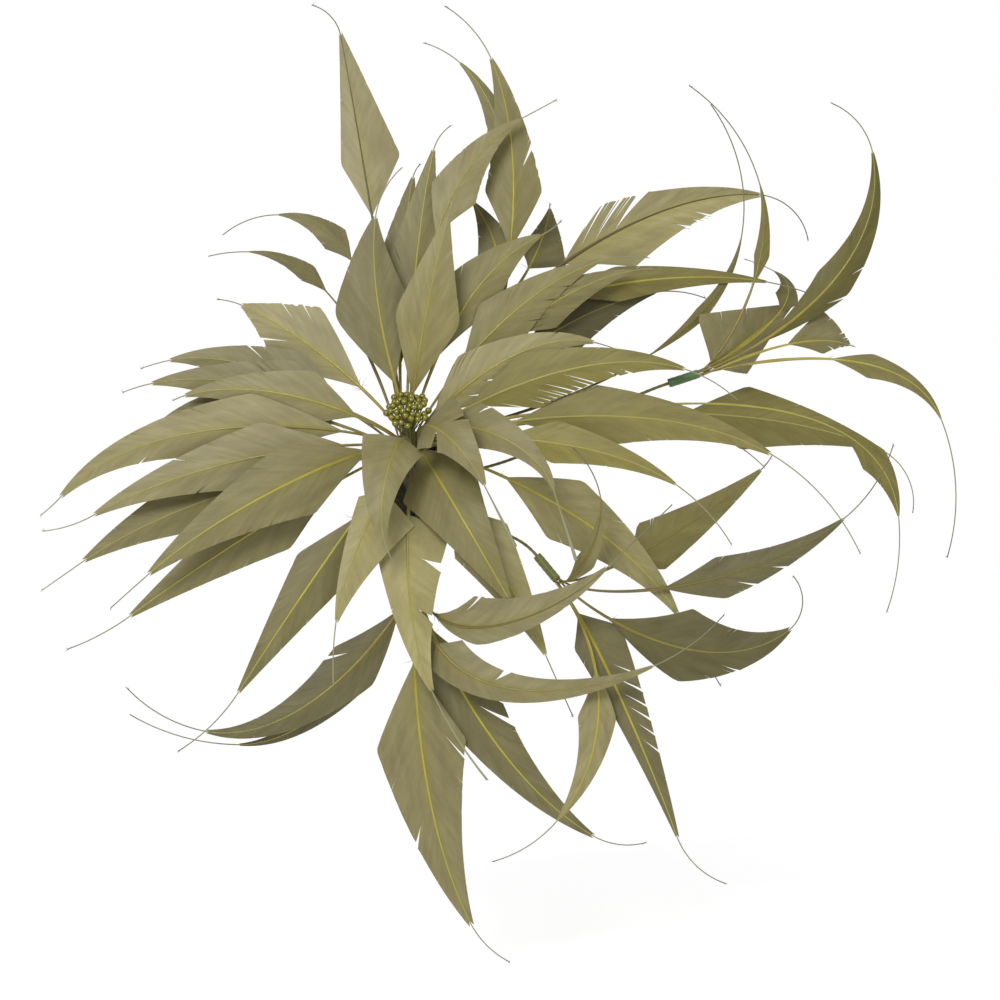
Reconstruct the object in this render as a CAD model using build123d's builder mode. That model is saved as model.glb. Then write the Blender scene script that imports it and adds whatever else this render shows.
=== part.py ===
"""Feather flower headpiece: a flower of trimmed feathers round a cluster of stamens, with four
wired sprays, sewn to a small round base with a hair comb.

Frame: millimetres, as worn on the left side of a head. The origin is the centre of the felt pad's
underside, where it lies on the head. +Y goes into the head, +Z is up, +X is towards the face.
"Front" is the side that a person beside the wearer sees, which is -Y.
"""

from build123d import *
from dataclasses import dataclass
from math import cos, pi, radians, sin, sqrt
import os

os.makedirs("parts", exist_ok=True)

# ---------------------------------------------------------------- driving dimensions

spread = 1.0  # scales how far every feather reaches

pad_radius = 22.0
pad_thickness = 1.5
base_radius = 21.0
base_thickness = 2.4
base_edge_radius = 1.0

# where the quills leave each binding, and which way they point there
hub_mouth = Vector(-3, -18, 14)
hub_axis = Vector(-0.05, -0.75, 0.66).normalized()
spray_mouths = {
    "back": (Vector(36, -4, 74), Vector(0.50, -0.05, 0.86).normalized()),
    "right": (Vector(124, -20, 47), Vector(0.93, -0.10, 0.30).normalized()),
    "front": (Vector(61, -32, -44), Vector(0.62, -0.25, -0.74).normalized()),
    "lower": (Vector(-1, -24, -41), Vector(0.02, -0.35, -0.94).normalized()),
}
# where each spray's stem is sewn down, as a bearing from the base's centre
stem_bearings = {"back": 60, "right": 10, "front": -40, "lower": -95}

# quills and vanes
root_radius = 0.4  # the skived end held in a binding
stalk_radius = 0.75  # the bare quill below the vane
stalk_place = 0.3  # where the quill is thickest, as a share of its length
quill_end_radius = 0.4  # at the vane's end
whisker_tip_radius = 0.3
root_length = 9.0
ring_gap = 0.1
vane_edge = 0.4  # thickness at the vane's cut edge
vane_end_share = 0.06  # width left at the vane's end
vane_droop = 0.08  # how far the edges fall back, as a share of the width

# bindings, stems and stamens
tape_thickness = 0.45
binding_length = 14.0
stem_radius = 0.7
stem_sewn_length = 10.0
stem_clearance = 0.05
stamen_count = 42
stamen_bunch_radius = 2.3
stamen_wire_radius = 0.2
stamen_rise = 24.0
stamen_dome = 3.5
bead_radius = 1.35
bead_foot_radius = 0.3
stamen_spread = 7.85 * bead_radius  # radius of the whole cluster
stamen_stagger = 0.9 * bead_radius  # how much higher every other bead stands
stamen_root = 8.0

# comb and threads
comb_width = 32.0
comb_height = 5.0
comb_depth = 2.2
comb_top = 12.0
comb_end_margin = 1.2  # from the comb's end to the first tooth's middle
tooth_count = 8
tooth_radius = 0.7
tooth_tip_radius = 0.4
tooth_steps = 6
tooth_length = 26.0
tooth_bulge = 1.2
thread_radius = 0.2
thread_end_count = 6
thread_end_radius = 0.3
thread_end_length = 9.0

# ---------------------------------------------------------------- the feathers


@dataclass
class Feather:
    """One trimmed feather. Bearings and headings are degrees from +X towards +Z, seen from the front."""

    node: str  # the node it belongs to
    bundle: str  # the binding that holds its root
    ring: int  # which ring of roots it stands in, counted from the middle
    rise: float  # how far the quill keeps on along the binding's axis before it bends, mm
    bearing: float  # direction from the binding's mouth to the vane's end
    reach: float  # distance to the vane's end, seen from the front, mm
    forward: float  # how far the vane's end stands in front of the mouth, mm
    heading: float  # direction of the quill at the vane's end
    pitch: float  # how far that direction leans to the front, degrees
    vane_start: float  # where the vane starts, as a share of the quill's length
    peak: float  # where the vane is widest, as a share of the vane's length
    left: float  # greatest half width on the left of the quill, mm
    right: float  # greatest half width on the right of the quill, mm
    roll: float  # turn of the vane about its quill, degrees
    whisker: float  # length of the bare tip beyond the vane, mm
    curl: float  # how far the whisker turns, degrees


FEATHERS = [
    # the flower, held in the hub, anticlockwise from the right
    Feather("right_low_pair", "flower", 1, 9, 1, 142, 4, 330, 0, 0.45, 0.3, 8, 8, 0, 18, -15),
    Feather("right_fringed_pair", "flower", 1, 9, 16, 125, 14, 343, 0, 0.22, 0.3, 13, 13, 0, 27, -25),
    Feather("right_fringed_pair", "flower", 1, 9, 30, 93, 8, 348, 0, 0.15, 0.3, 13, 12, 0, 10, -10),
    Feather("right_dark", "flower", 2, 6, 33, 130, -22, 10, -10, 0.5, 0.3, 13, 13, 0, 24, -30),
    Feather("right_upper_pair", "flower", 2, 6, 39, 126, -6, 11, -5, 0.5, 0.3, 10, 10, 0, 10, -10),
    Feather("right_upper_pair", "flower", 1, 9, 45, 118, -4, 18, -5, 0.35, 0.3, 13, 13, 0, 22, -25),
    Feather("right_thin", "flower", 2, 6, 33, 176, -16, 80, 0, 0.6, 0.45, 3, 3, 0, 62, 45),
    Feather("top_petal_pair", "flower", 1, 9, 59, 111, -8, 25, -10, 0.35, 0.4, 14, 12, 0, 12, 20),
    Feather("top_tall", "flower", 2, 6, 72, 155, -12, 30, -15, 0.58, 0.3, 11, 11, 0, 20, 0),
    Feather("top_petal_pair", "flower", 1, 9, 81, 103, 10, 75, -10, 0.22, 0.38, 13, 15, 0, 8, 0),
    Feather("top_short_pair", "flower", 2, 6, 86, 134, -10, 78, -10, 0.4, 0.3, 10, 10, 0, 14, -40),
    Feather("top_short_pair", "flower", 2, 6, 90, 122, -15, 79, -10, 0.4, 0.3, 10, 10, 0, 7, -30),
    Feather("top_broad", "flower", 0, 16, 99, 103, 5, 84, -5, 0.28, 0.35, 20, 15, 0, 26, -40),
    Feather("top_diamond", "flower", 0, 16, 100, 190, -20, 101, -10, 0.55, 0.3, 10, 17, 0, 20, 60),
    Feather("top_left_thin_pair", "flower", 2, 5, 120, 123, -30, 177, -10, 0.68, 0.3, 6, 7, 0, 28, 40),
    Feather("top_left_thin_pair", "flower", 2, 3, 130, 118, -38, 177, -10, 0.66, 0.3, 4, 5, 0, 19, 15),
    Feather("top_left_broad", "flower", 1, 14, 140, 100, -14, 155, -5, 0.33, 0.55, 17, 17, 0, 12, 20),
    Feather("left_back_pair", "flower", 2, 4, 160, 116, -14, 190, -5, 0.3, 0.3, 14, 14, 0, 14, 10),
    Feather("left_back_pair", "flower", 1, 12, 166, 120, -8, 191, -5, 0.27, 0.3, 14, 14, 0, 14, 10),
    Feather("left_short_pair", "flower", 1, 12, 167, 103, 4, 196, -5, 0.25, 0.3, 13, 13, 0, 6, 10),
    Feather("left_short_pair", "flower", 2, 4, 175, 114, -4, 211, -5, 0.3, 0.3, 14, 14, 0, 6, 10),
    Feather("left_long", "flower", 1, 12, 188, 156, 10, 228, 0, 0.18, 0.3, 15, 15, 0, 12, -10),
    Feather("left_low_pair", "flower", 1, 12, 192, 142, 16, 211, 0, 0.2, 0.3, 15, 15, 0, 24, -25),
    Feather("left_low_pair", "flower", 2, 6, 199, 153, 6, 215, 0, 0.25, 0.35, 16, 18, 0, 23, 0),
    Feather("left_bright", "flower", 0, 16, 206, 125, 36, 222, 5, 0.16, 0.3, 17, 17, 0, 22, 0),
    Feather("left_under", "flower", 1, 12, 211, 143, 20, 217, 5, 0.25, 0.3, 15, 15, 0, 31, -17),
    Feather("left_down", "flower", 1, 9, 235, 130, 28, 238, 0, 0.3, 0.3, 13, 12, 0, 37, -26),
    Feather("front_left", "flower", 1, 9, 247, 82, 29.5, 262, 0, 0.3, 0.1, 19, 9, 0, 27, 10),
    Feather("front_curl_left", "flower", 0, 34, 257, 44, 40, 290, -20, 0.26, 0.08, 12, 17, 0, 6, 0),
    Feather("front_split", "flower", 1, 9, 275, 106, 27, 294, 0, 0.29, 0.12, 19, 14, 0, 46, 15),
    Feather("front_inner", "flower", 2, 6, 303, 108, 18, 294, 0, 0.3, 0.22, 14, 14, 0, 30, 0),
    Feather("front_shadowed", "flower", 1, 9, 303, 80, 30, 300, -10, 0.05, 0.2, 17, 19, 0, 4, 0),
    Feather("front_right_long", "flower", 2, 12, 328, 138, 12, 301, 0, 0.3, 0.3, 15, 15, 0, 37, 0),
    Feather("front_curl_right", "flower", 0, 34, 333, 36, 42, 297, -20, 0.3, 0.1, 18, 12, 0, 32, 0),
    Feather("front_curl_far", "flower", 0, 24, 343, 65, 38, 288, -10, 0.3, 0.2, 12, 9, 0, 32, 0),
    Feather("right_lower", "flower", 1, 9, 352, 117, 20, 326, 0, 0.32, 0.3, 10, 9, 0, 36, -25),
    Feather("far_right_pair", "flower", 2, 6, 352, 218, 0, 276, 0, 0.8, 0.4, 6, 7, 0, 43, -25),
    Feather("right_low_pair", "flower", 1, 9, 359, 158, 12, 330, 0, 0.28, 0.3, 14, 14, 0, 60, -35),
    Feather("far_right_pair", "flower", 2, 6, 360, 210, -20, 337, 0, 0.57, 0.3, 14, 15, 0, 35, -75),
    # the back spray
    Feather("back_spray_right", "back", 0, 6, 7, 121, 0, 350, 0, 0.2, 0.3, 8, 8, 0, 20, -10),
    Feather("back_spray_fringed", "back", 0, 6, 25, 130, -10, 356, 0, 0.27, 0.3, 14, 18, 0, 32, -75),
    Feather("back_spray_short_pair", "back", 0, 6, 66, 56, -35, 83, -30, 0.45, 0.3, 8, 15, 0, 3, 0),
    Feather("back_spray_tall_pair", "back", 0, 6, 92, 116, -5, 113, 0, 0.25, 0.3, 13, 13, 0, 32, 35),
    Feather("back_spray_tall_pair", "back", 0, 6, 99, 117, -15, 137, -5, 0.4, 0.3, 8, 8, 0, 19, 25),
    Feather("back_spray_short_pair", "back", 0, 6, 103, 54, -20, 127, -15, 0.3, 0.3, 10, 10, 0, 3, 0),
    # the right spray
    Feather("right_spray_long", "right", 0, 10, 349, 108, 10, 292, 0, 0.5, 0.3, 5, 6, 0, 62, -38),
    Feather("right_spray_short_pair", "right", 0, 6, 11, 69, -8, 343, -30, 0.58, 0.55, 14, 6, 0, 3, 0),
    Feather("right_spray_broad", "right", 0, 6, 36, 54, -30, 36, -25, 0.12, 0.25, 23, 12, 0, 3, 0),
    Feather("right_spray_short_pair", "right", 0, 12, 53, 60, -30, 150, -20, 0.66, 0.3, 6, 6, 0, 15, 10),
    Feather("right_spray_tall", "right", 0, 30, 52, 126, -5, 101, 0, 0.22, 0.4, 8, 9, 0, 29, 55),
    Feather("right_spray_thin_pair", "right", 0, 10, 72, 89, -5, 105, 0, 0.5, 0.3, 3, 4, 0, 55, 40),
    # the front spray
    Feather("front_spray_right_pair", "front", 0, 10, 28, 103, -16, 41, 0, 0.33, 0.15, 12, 12, 0, 8, 20),
    Feather("front_spray_right_pair", "front", 0, 16, 12, 129, -2, 38, 0, 0.35, 0.3, 9, 10, 0, 40, 35),
    Feather("front_spray_broad", "front", 0, 20, 348, 104, 5, 38, 0, 0.25, 0.3, 18, 15, 0, 26, 90),
    Feather("front_spray_down_pair", "front", 0, 20, 295, 124, 8, 290, 0, 0.1, 0.3, 14, 9, 0, 30, 50),
    Feather("front_spray_down_pair", "front", 0, 34, 270, 104, 14, 231, 0, 0.1, 0.4, 9, 9, 0, 34, -35),
    Feather("front_spray_curl", "front", 0, 9, 62, 40, 14, 97, 0, 0.1, 0.3, 6, 6, 0, 26, 40),
    # the lower spray
    Feather("lower_crescent_pair", "lower", 0, 42, 2, 83, 34, 44, 0, 0.2, 0.12, 12, 7, 0, 39, 0),
    Feather("lower_crescent_pair", "lower", 0, 62, 339, 111, 26, 23, 0, 0.25, 0.06, 9, 8, 0, 38, 25),
    Feather("lower_right", "lower", 0, 14, 304, 140, 4, 329, 0, 0.18, 0.25, 15, 15, 0, 24, 45),
    Feather("lower_long", "lower", 0, 10, 279, 156, 10, 297, 0, 0.25, 0.3, 20, 20, 0, 24, 35),
    Feather("lower_left_pair", "lower", 0, 9, 224, 109, 4, 180, 0, 0.2, 0.3, 7, 7, 0, 50, -30),
    Feather("lower_left_pair", "lower", 0, 10, 217, 115, 12, 170, 0, 0.15, 0.3, 12, 12, 0, 40, -36),
]

# ---------------------------------------------------------------- shared geometry

FRONT = Vector(0, -1, 0)
path_steps = 60
handle_share = 0.42  # length of the curve's handle at the vane's end, as a share of the chord
stalk_stations = (0.03, 0.07, 0.14, 0.3, 0.5, 0.75)
vane_rise_stations = (0.0, 0.34, 0.67)  # as shares of the way to the widest place
vane_fall_stations = (0.0, 0.17, 0.36, 0.55, 0.72, 0.86, 1.0)  # and from there to the vane's end
whisker_steps = 6


def turned(vector, axis, degrees):
    """The vector, turned about an axis through the origin."""
    return vector.rotate(Axis((0, 0, 0), axis), degrees)


def on_curve(corners, t):
    """A point of the cubic curve with these four control points."""
    u = 1 - t
    weights = (u**3, 3 * u * u * t, 3 * u * t * t, t**3)
    return sum((point * weight for point, weight in zip(corners, weights)), Vector(0, 0, 0))


def ring_directions(axis):
    """Two directions across a binding: the first nearest to +X, the second towards up and front."""
    across = (Vector(1, 0, 0) - axis * axis.X).normalized()
    up = axis.cross(across)
    if up.dot(Vector(0, -1, 1)) < 0:
        up = up * -1
    return across, up


def ring_radius(bundle, ring):
    """Radius of a ring of roots: each ring stands just outside the stem or stamens, or the ring inside it."""
    core = stamen_bunch_radius if bundle == "flower" else stem_radius
    return core + root_radius + ring_gap + ring * 2 * (root_radius + ring_gap)


def binding_frame(bundle):
    """The mouth and the axis of a binding."""
    return (hub_mouth, hub_axis) if bundle == "flower" else spray_mouths[bundle]


def root_place(feather):
    """Where a quill crosses its binding's mouth: evenly spaced round the ring, in order of bearing."""
    mouth, axis = binding_frame(feather.bundle)
    ring = [f for f in FEATHERS if (f.bundle, f.ring) == (feather.bundle, feather.ring)]
    ring.sort(key=lambda f: (f.bearing + 5) % 360)
    angle = radians(ring[0].bearing + 360 * ring.index(feather) / len(ring))
    across, up = ring_directions(axis)
    return mouth + (across * cos(angle) + up * sin(angle)) * ring_radius(feather.bundle, feather.ring)


def feather_line(feather):
    """The centre line as (point, direction, place) stations. Place counts 0 to 1 along the quill from the
    mouth to the vane's end; it is negative inside the binding and above 1 on the whisker."""
    mouth, axis = binding_frame(feather.bundle)
    root = root_place(feather)
    bearing, heading, pitch = (radians(a) for a in (feather.bearing, feather.heading, feather.pitch))
    reach = feather.reach * spread
    end = mouth + Vector(reach * cos(bearing), -feather.forward * spread, reach * sin(bearing))
    leaving = Vector(cos(heading) * cos(pitch), -sin(pitch), sin(heading) * cos(pitch))
    handle = (end - root).length * handle_share
    corners = (root, root + axis * feather.rise, end - leaving * handle, end)
    fine = [on_curve(corners, i / path_steps) for i in range(path_steps + 1)]
    travelled = [0.0]
    for a, b in zip(fine, fine[1:]):
        travelled.append(travelled[-1] + (b - a).length)
    start = feather.vane_start
    peak = start + (1 - start) * feather.peak
    places = [start * s for s in stalk_stations]
    places += [start + (peak - start) * s for s in vane_rise_stations]
    places += [peak + (1 - peak) * s for s in vane_fall_stations]
    line = [(root - axis * root_length, axis, -1.0), (root, axis, 0.0)]
    for place in places:
        wanted = place * travelled[-1]
        i = next(k for k in range(path_steps) if travelled[k + 1] >= wanted - 1e-9)
        share = (wanted - travelled[i]) / (travelled[i + 1] - travelled[i])
        before = fine[i] - fine[i - 1] if i else axis
        after = fine[i + 1] - fine[i]
        direction = (before.normalized() * (1 - share) + after.normalized() * (1 + share)).normalized()
        line.append((fine[i] + (fine[i + 1] - fine[i]) * share, direction, place))
    point = end
    direction = leaving
    for i in range(whisker_steps):
        direction = turned(direction, FRONT, feather.curl / whisker_steps)
        point = point + direction * (feather.whisker / whisker_steps)
        line.append((point, direction, 1 + (i + 1) / whisker_steps))
    return line


def across_line(line, feather):
    """The direction of the feather's left side at each station: set at the middle of the vane so that the
    vane faces front, then carried along the quill with no twist."""
    anchor = next(i for i, station in enumerate(line) if station[2] > 0.6)
    forward = line[anchor][1]
    face = turned(FRONT, forward, feather.roll)
    sides = {anchor: face.cross(forward).normalized()}
    for i in list(range(anchor - 1, -1, -1)) + list(range(anchor + 1, len(line))):
        last = sides[i + 1] if i < anchor else sides[i - 1]
        along = line[i][1]
        sides[i] = (last - along * last.dot(along)).normalized()
    return [sides[i] for i in range(len(line))]


def quill_radius(place):
    """Radius of the quill at a place along it."""
    if place <= 0:
        return root_radius
    if place < stalk_place:
        return root_radius + (stalk_radius - root_radius) * place / stalk_place
    if place <= 1:
        return stalk_radius + (quill_end_radius - stalk_radius) * (place - stalk_place) / (1 - stalk_place)
    return quill_end_radius + (whisker_tip_radius - quill_end_radius) * (place - 1)


def vane_share(feather, place):
    """Half width of the vane as a share of its greatest half width."""
    along = (place - feather.vane_start) / (1 - feather.vane_start)
    if along <= 0 or along > 1:
        return 0.0
    if along < feather.peak:
        return along / feather.peak
    return 1 - (1 - vane_end_share) * (along - feather.peak) / (1 - feather.peak)


def feather_section(feather, place):
    """Outline across a feather: the quill in the middle, thin wings to the cut edges."""
    core = quill_radius(place)
    left = max(core, feather.left * vane_share(feather, place))
    right = max(core, feather.right * vane_share(feather, place))
    edge = min(vane_edge / 2, 0.45 * core)
    left_fall = vane_droop * (left - core)
    right_fall = vane_droop * (right - core)
    half = 0.55 * core
    return [
        (left, edge - left_fall),
        (half, core),
        (-half, core),
        (-right, edge - right_fall),
        (-right, -edge - right_fall),
        (-half, -core),
        (half, -core),
        (left, -edge - left_fall),
    ]


def eight_sides(radius):
    """Outline across a round rod."""
    corner = 0.41 * radius
    quarter = [(radius, corner), (corner, radius), (-corner, radius), (-radius, corner)]
    return quarter + [(-x, -y) for x, y in quarter]


def section_face(plane, outline):
    """A face inside one closed outline on a plane."""
    with BuildSketch(plane) as section:
        with BuildLine():
            Polyline(*outline, close=True)
        make_face()
    return section.sketch


def draw_feather(feather):
    """Lofts one feather into the part, from its root in the binding to the tip of its whisker."""
    line = feather_line(feather)
    sections = []
    for (point, along, place), side in zip(line, across_line(line, feather)):
        plane = Plane(origin=point, x_dir=side, z_dir=along)
        sections.append(section_face(plane, feather_section(feather, place)))
    loft(sections, ruled=True, clean=False)


def draw_rod(points, radius, tip_radius=None):
    """Lofts a round rod through the points into the part, tapered to its tip if that has a radius."""
    tip_radius = radius if tip_radius is None else tip_radius
    last = len(points) - 1
    sections = []
    side = Vector(0, 0, 0)
    for i, point in enumerate(points):
        along = (points[min(i + 1, last)] - points[max(i - 1, 0)]).normalized()
        if i == 0:
            side = along.cross(FRONT if abs(along.Y) < 0.9 else Vector(0, 0, 1))
        side = (side - along * side.dot(along)).normalized()
        here = radius + (tip_radius - radius) * i / last
        sections.append(section_face(Plane(origin=point, x_dir=side, z_dir=along), eight_sides(here)))
    loft(sections, ruled=True, clean=False)


def draw_staple(plane, half_width, height):
    """A thread loop that stands on a plane with both ends in it and arches over what it holds."""
    corners = [(-half_width, 0), (-half_width, height), (half_width, height), (half_width, 0)]
    places = [plane.from_local_coords((x, 0, z)) for x, z in corners]
    with BuildLine() as loop:
        FilletPolyline(*places, radius=0.4 * half_width)
    with BuildSketch(Plane(origin=loop.line @ 0, z_dir=loop.line % 0)) as thread:
        Circle(thread_radius)
    sweep(thread.sketch, path=loop.line, clean=False)


def save(part, name):
    part.label = name
    export_step(part, f"parts/{name}.step")


# ---------------------------------------------------------------- base, pad and comb

base_face = pad_thickness + base_thickness  # how far the base's outer face stands off the head

with BuildPart() as felt_pad:
    with BuildSketch(Plane.XZ):
        Circle(pad_radius)
    extrude(amount=pad_thickness)
save(felt_pad.part, "felt_pad")

with BuildPart() as base_disc:
    with BuildSketch(Plane.XZ.offset(pad_thickness)):
        Circle(base_radius)
    extrude(amount=base_thickness)
    fillet(base_disc.faces().sort_by(Axis.Y)[0].edges(), radius=base_edge_radius)
save(base_disc.part, "base_disc")

tooth_pitch = (comb_width - 2 * comb_end_margin) / (tooth_count - 1)
comb_bottom = comb_top - comb_height

with BuildPart() as hair_comb:
    with BuildSketch(Plane.XZ.offset(-comb_depth)):
        with Locations((0, (comb_top + comb_bottom) / 2)):
            RectangleRounded(comb_width, comb_height, 0.3 * comb_height)
    extrude(amount=comb_depth)
    for i in range(tooth_count):
        x = -comb_width / 2 + comb_end_margin + i * tooth_pitch
        top = Vector(x, comb_depth / 2, comb_bottom + comb_height / 2)
        drop = comb_height / 2 + tooth_length
        tooth = [
            top + Vector(0, tooth_bulge * sin(pi * k / tooth_steps), -drop * k / tooth_steps)
            for k in range(tooth_steps + 1)
        ]
        draw_rod(tooth, tooth_radius, tooth_tip_radius)
save(hair_comb.part, "hair_comb")

# ---------------------------------------------------------------- hub and spray bindings

flower_rings = 1 + max(f.ring for f in FEATHERS if f.bundle == "flower")
hub_inner = ring_radius("flower", flower_rings - 1) + root_radius + ring_gap
hub_outer = hub_inner + 2 * tape_thickness
hub_depth = (-hub_mouth.Y - base_face) / -hub_axis.Y + 2 * hub_outer

with BuildPart() as hub_binding:
    with BuildSketch(Plane(origin=hub_mouth, z_dir=hub_axis)):
        Circle(hub_outer)
        Circle(hub_inner, mode=Mode.SUBTRACT)
    extrude(amount=-hub_depth)
    split(bisect_by=Plane(origin=(0, -base_face, 0), z_dir=FRONT), keep=Keep.TOP)
save(hub_binding.part, "hub_binding")

spray_inner = ring_radius("back", 0) + root_radius + ring_gap
stem_rest = base_face + stem_radius + stem_clearance
stem_inner_end = 0.45 * base_radius

with BuildPart() as spray_bindings:
    for mouth, axis in spray_mouths.values():
        with BuildSketch(Plane(origin=mouth, z_dir=axis)):
            Circle(spray_inner + tape_thickness)
            Circle(spray_inner, mode=Mode.SUBTRACT)
        extrude(amount=-binding_length)
save(spray_bindings.part, "spray_bindings")

for bundle, (mouth, axis) in spray_mouths.items():
    bearing = radians(stem_bearings[bundle])
    outward = Vector(cos(bearing), 0, sin(bearing))
    sewn_start = outward * stem_inner_end + Vector(0, -stem_rest, 0)
    sewn_end = sewn_start + outward * stem_sewn_length
    entry = mouth - axis * binding_length
    gap = (entry - sewn_end).length
    corners = (sewn_end, sewn_end + outward * gap * 0.4, entry - axis * gap * 0.35, entry)
    route = [sewn_start] + [on_curve(corners, i / 8) for i in range(9)] + [mouth - axis]
    with BuildPart() as stem:
        draw_rod(route, stem_radius)
    save(stem.part, f"{bundle}_spray_stem")

# ---------------------------------------------------------------- stamens

hub_across, hub_up = ring_directions(hub_axis)


def stamen_place(i, radius):
    """A place in an even spiral pattern of the given radius, across the hub's axis."""
    angle = radians(137.508 * i)
    distance = radius * sqrt((i + 0.5) / stamen_count)
    return (hub_across * cos(angle) + hub_up * sin(angle)) * distance


def bead_centre(i):
    """Where a bead sits on the domed cluster; neighbours stand a little higher and lower."""
    height = stamen_rise + stamen_dome * (1 - (i + 0.5) / stamen_count) + stamen_stagger * (i % 2)
    return hub_mouth + hub_axis * height + stamen_place(i, stamen_spread)


stamen_beads = []
stamen_wires = []
for i in range(stamen_count):
    inner = stamen_place(i, stamen_bunch_radius - stamen_wire_radius)
    foot = hub_mouth - hub_axis * stamen_root + inner
    bend = hub_mouth + hub_axis * (0.45 * stamen_rise) + inner
    head = bead_centre(i)
    outward = (head - bend).normalized()
    # a bead is round, with a small flat foot where its wire ends
    with BuildPart() as bead:
        with BuildSketch(Plane(origin=head, x_dir=outward.cross(FRONT), z_dir=outward.cross(FRONT).cross(outward))):
            with BuildLine():
                foot_drop = sqrt(bead_radius**2 - bead_foot_radius**2)
                ThreePointArc((bead_foot_radius, -foot_drop), (bead_radius, 0), (0, bead_radius))
                Polyline((0, bead_radius), (0, -foot_drop), (bead_foot_radius, -foot_drop))
            make_face()
        revolve(axis=Axis(head, outward))
    with BuildPart() as stamen_wire:
        draw_rod([foot, bend, head - outward * (bead_radius + 0.02)], stamen_wire_radius)
    stamen_beads += bead.part.solids()
    stamen_wires += stamen_wire.part.solids()
save(Compound(stamen_beads), "stamen_beads")
save(Compound(stamen_wires), "stamen_stalks")

# ---------------------------------------------------------------- threads

with BuildPart() as stitches:
    for i in range(1, tooth_count - 2, 2):
        x = -comb_width / 2 + comb_end_margin + (i + 0.5) * tooth_pitch
        over_comb = Plane(origin=(x, 0, (comb_top + comb_bottom) / 2), x_dir=(0, 0, 1), z_dir=(0, 1, 0))
        draw_staple(over_comb, comb_height / 2 + 2 * thread_radius, comb_depth + 2 * thread_radius)
    for bearing_degrees in stem_bearings.values():
        bearing = radians(bearing_degrees)
        outward = Vector(cos(bearing), 0, sin(bearing))
        for share in (0.3, 0.7):
            foot = outward * (stem_inner_end + share * stem_sewn_length) + Vector(0, -base_face, 0)
            over_stem = Plane(origin=foot, x_dir=outward.cross(FRONT), z_dir=FRONT)
            draw_staple(over_stem, stem_radius + 2 * thread_radius, 2 * stem_radius + 3 * thread_radius)
save(stitches.part, "sewing_stitches")

thread_pitch = 2.5 * thread_end_radius
with BuildPart() as thread_ends:
    for i in range(thread_end_count):
        x = 1.5 + i * thread_pitch
        top = Vector(x, -base_face - 1.0, -8 - 0.4 * (i % 3))
        low = top + Vector(0.3 * (i - 2), -0.6, -thread_end_length + 0.7 * (i % 2))
        draw_rod([top, (top + low) * 0.5 + Vector(0, -0.5, 0), low], thread_end_radius)
save(thread_ends.part, "thread_ends")

# ---------------------------------------------------------------- feathers

for node in dict.fromkeys(f.node for f in FEATHERS):
    blades = []
    for feather in [f for f in FEATHERS if f.node == node]:
        with BuildPart() as blade:
            draw_feather(feather)
        blades += blade.part.solids()
    save(blade.part if len(blades) == 1 else Compound(blades), node)
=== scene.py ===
"""The looks of the feather flower headpiece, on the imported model's frame.

Lengths are worked out in millimetres and turned into metres as each mesh is made. As worn: +Y goes
into the head, +Z is up, +X is towards the face, and the front is the side seen from -Y.
"""

import bpy
import random
from dataclasses import dataclass
from math import atan, cos, exp, log1p, pi, radians, sin, sqrt
from mathutils import Matrix, Vector, noise


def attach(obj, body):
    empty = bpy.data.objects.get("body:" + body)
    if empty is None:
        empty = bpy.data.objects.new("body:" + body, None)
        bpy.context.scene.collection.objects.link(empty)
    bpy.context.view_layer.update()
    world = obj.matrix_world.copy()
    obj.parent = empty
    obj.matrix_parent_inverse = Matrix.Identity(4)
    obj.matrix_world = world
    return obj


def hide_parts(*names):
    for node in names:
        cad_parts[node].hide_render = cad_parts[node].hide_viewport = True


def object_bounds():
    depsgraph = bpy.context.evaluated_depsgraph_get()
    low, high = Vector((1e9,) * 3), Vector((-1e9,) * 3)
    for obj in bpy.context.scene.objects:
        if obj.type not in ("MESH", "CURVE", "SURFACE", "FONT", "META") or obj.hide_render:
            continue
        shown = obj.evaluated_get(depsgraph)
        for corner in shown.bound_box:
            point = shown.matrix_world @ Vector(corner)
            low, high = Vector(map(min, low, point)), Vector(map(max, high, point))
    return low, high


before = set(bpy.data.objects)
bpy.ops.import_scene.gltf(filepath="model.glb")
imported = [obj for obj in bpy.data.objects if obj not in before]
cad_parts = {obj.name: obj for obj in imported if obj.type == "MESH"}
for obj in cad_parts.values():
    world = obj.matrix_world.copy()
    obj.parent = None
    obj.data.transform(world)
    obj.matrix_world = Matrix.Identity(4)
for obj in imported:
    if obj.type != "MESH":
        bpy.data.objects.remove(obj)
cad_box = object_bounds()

MM = 0.001
FRONT = Vector((0, -1, 0))

# ---------------------------------------------------------------- sizes, most of them the CAD model's own

hub_mouth = Vector((-3, -18, 14))
hub_axis = Vector((-0.05, -0.75, 0.66)).normalized()
spray_mouths = {
    "back": (Vector((36, -4, 74)), Vector((0.50, -0.05, 0.86)).normalized()),
    "right": (Vector((124, -20, 47)), Vector((0.93, -0.10, 0.30)).normalized()),
    "front": (Vector((61, -32, -44)), Vector((0.62, -0.25, -0.74)).normalized()),
    "lower": (Vector((-1, -24, -41)), Vector((0.02, -0.35, -0.94)).normalized()),
}
stem_bearings = {"back": 60, "right": 10, "front": -40, "lower": -95}
pad_thickness = 1.5
base_radius = 21.0
base_thickness = 2.4
base_face = pad_thickness + base_thickness  # how far the base's outer face stands off the head
root_radius = 0.4
stalk_radius = 0.75
stalk_place = 0.3
quill_end_radius = 0.27
whisker_tip_radius = 0.24
root_length = 9.0
ring_gap = 0.1
vane_end_share = 0.06
handle_share = 0.42
tape_thickness = 0.45
binding_length = 14.0
stem_radius = 0.7
stem_sewn_length = 10.0
stem_clearance = 0.05
stamen_count = 42
stamen_bunch_radius = 2.3
stamen_wire_radius = 0.2
stamen_rise = 24.0
stamen_spread = 9.9
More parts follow.
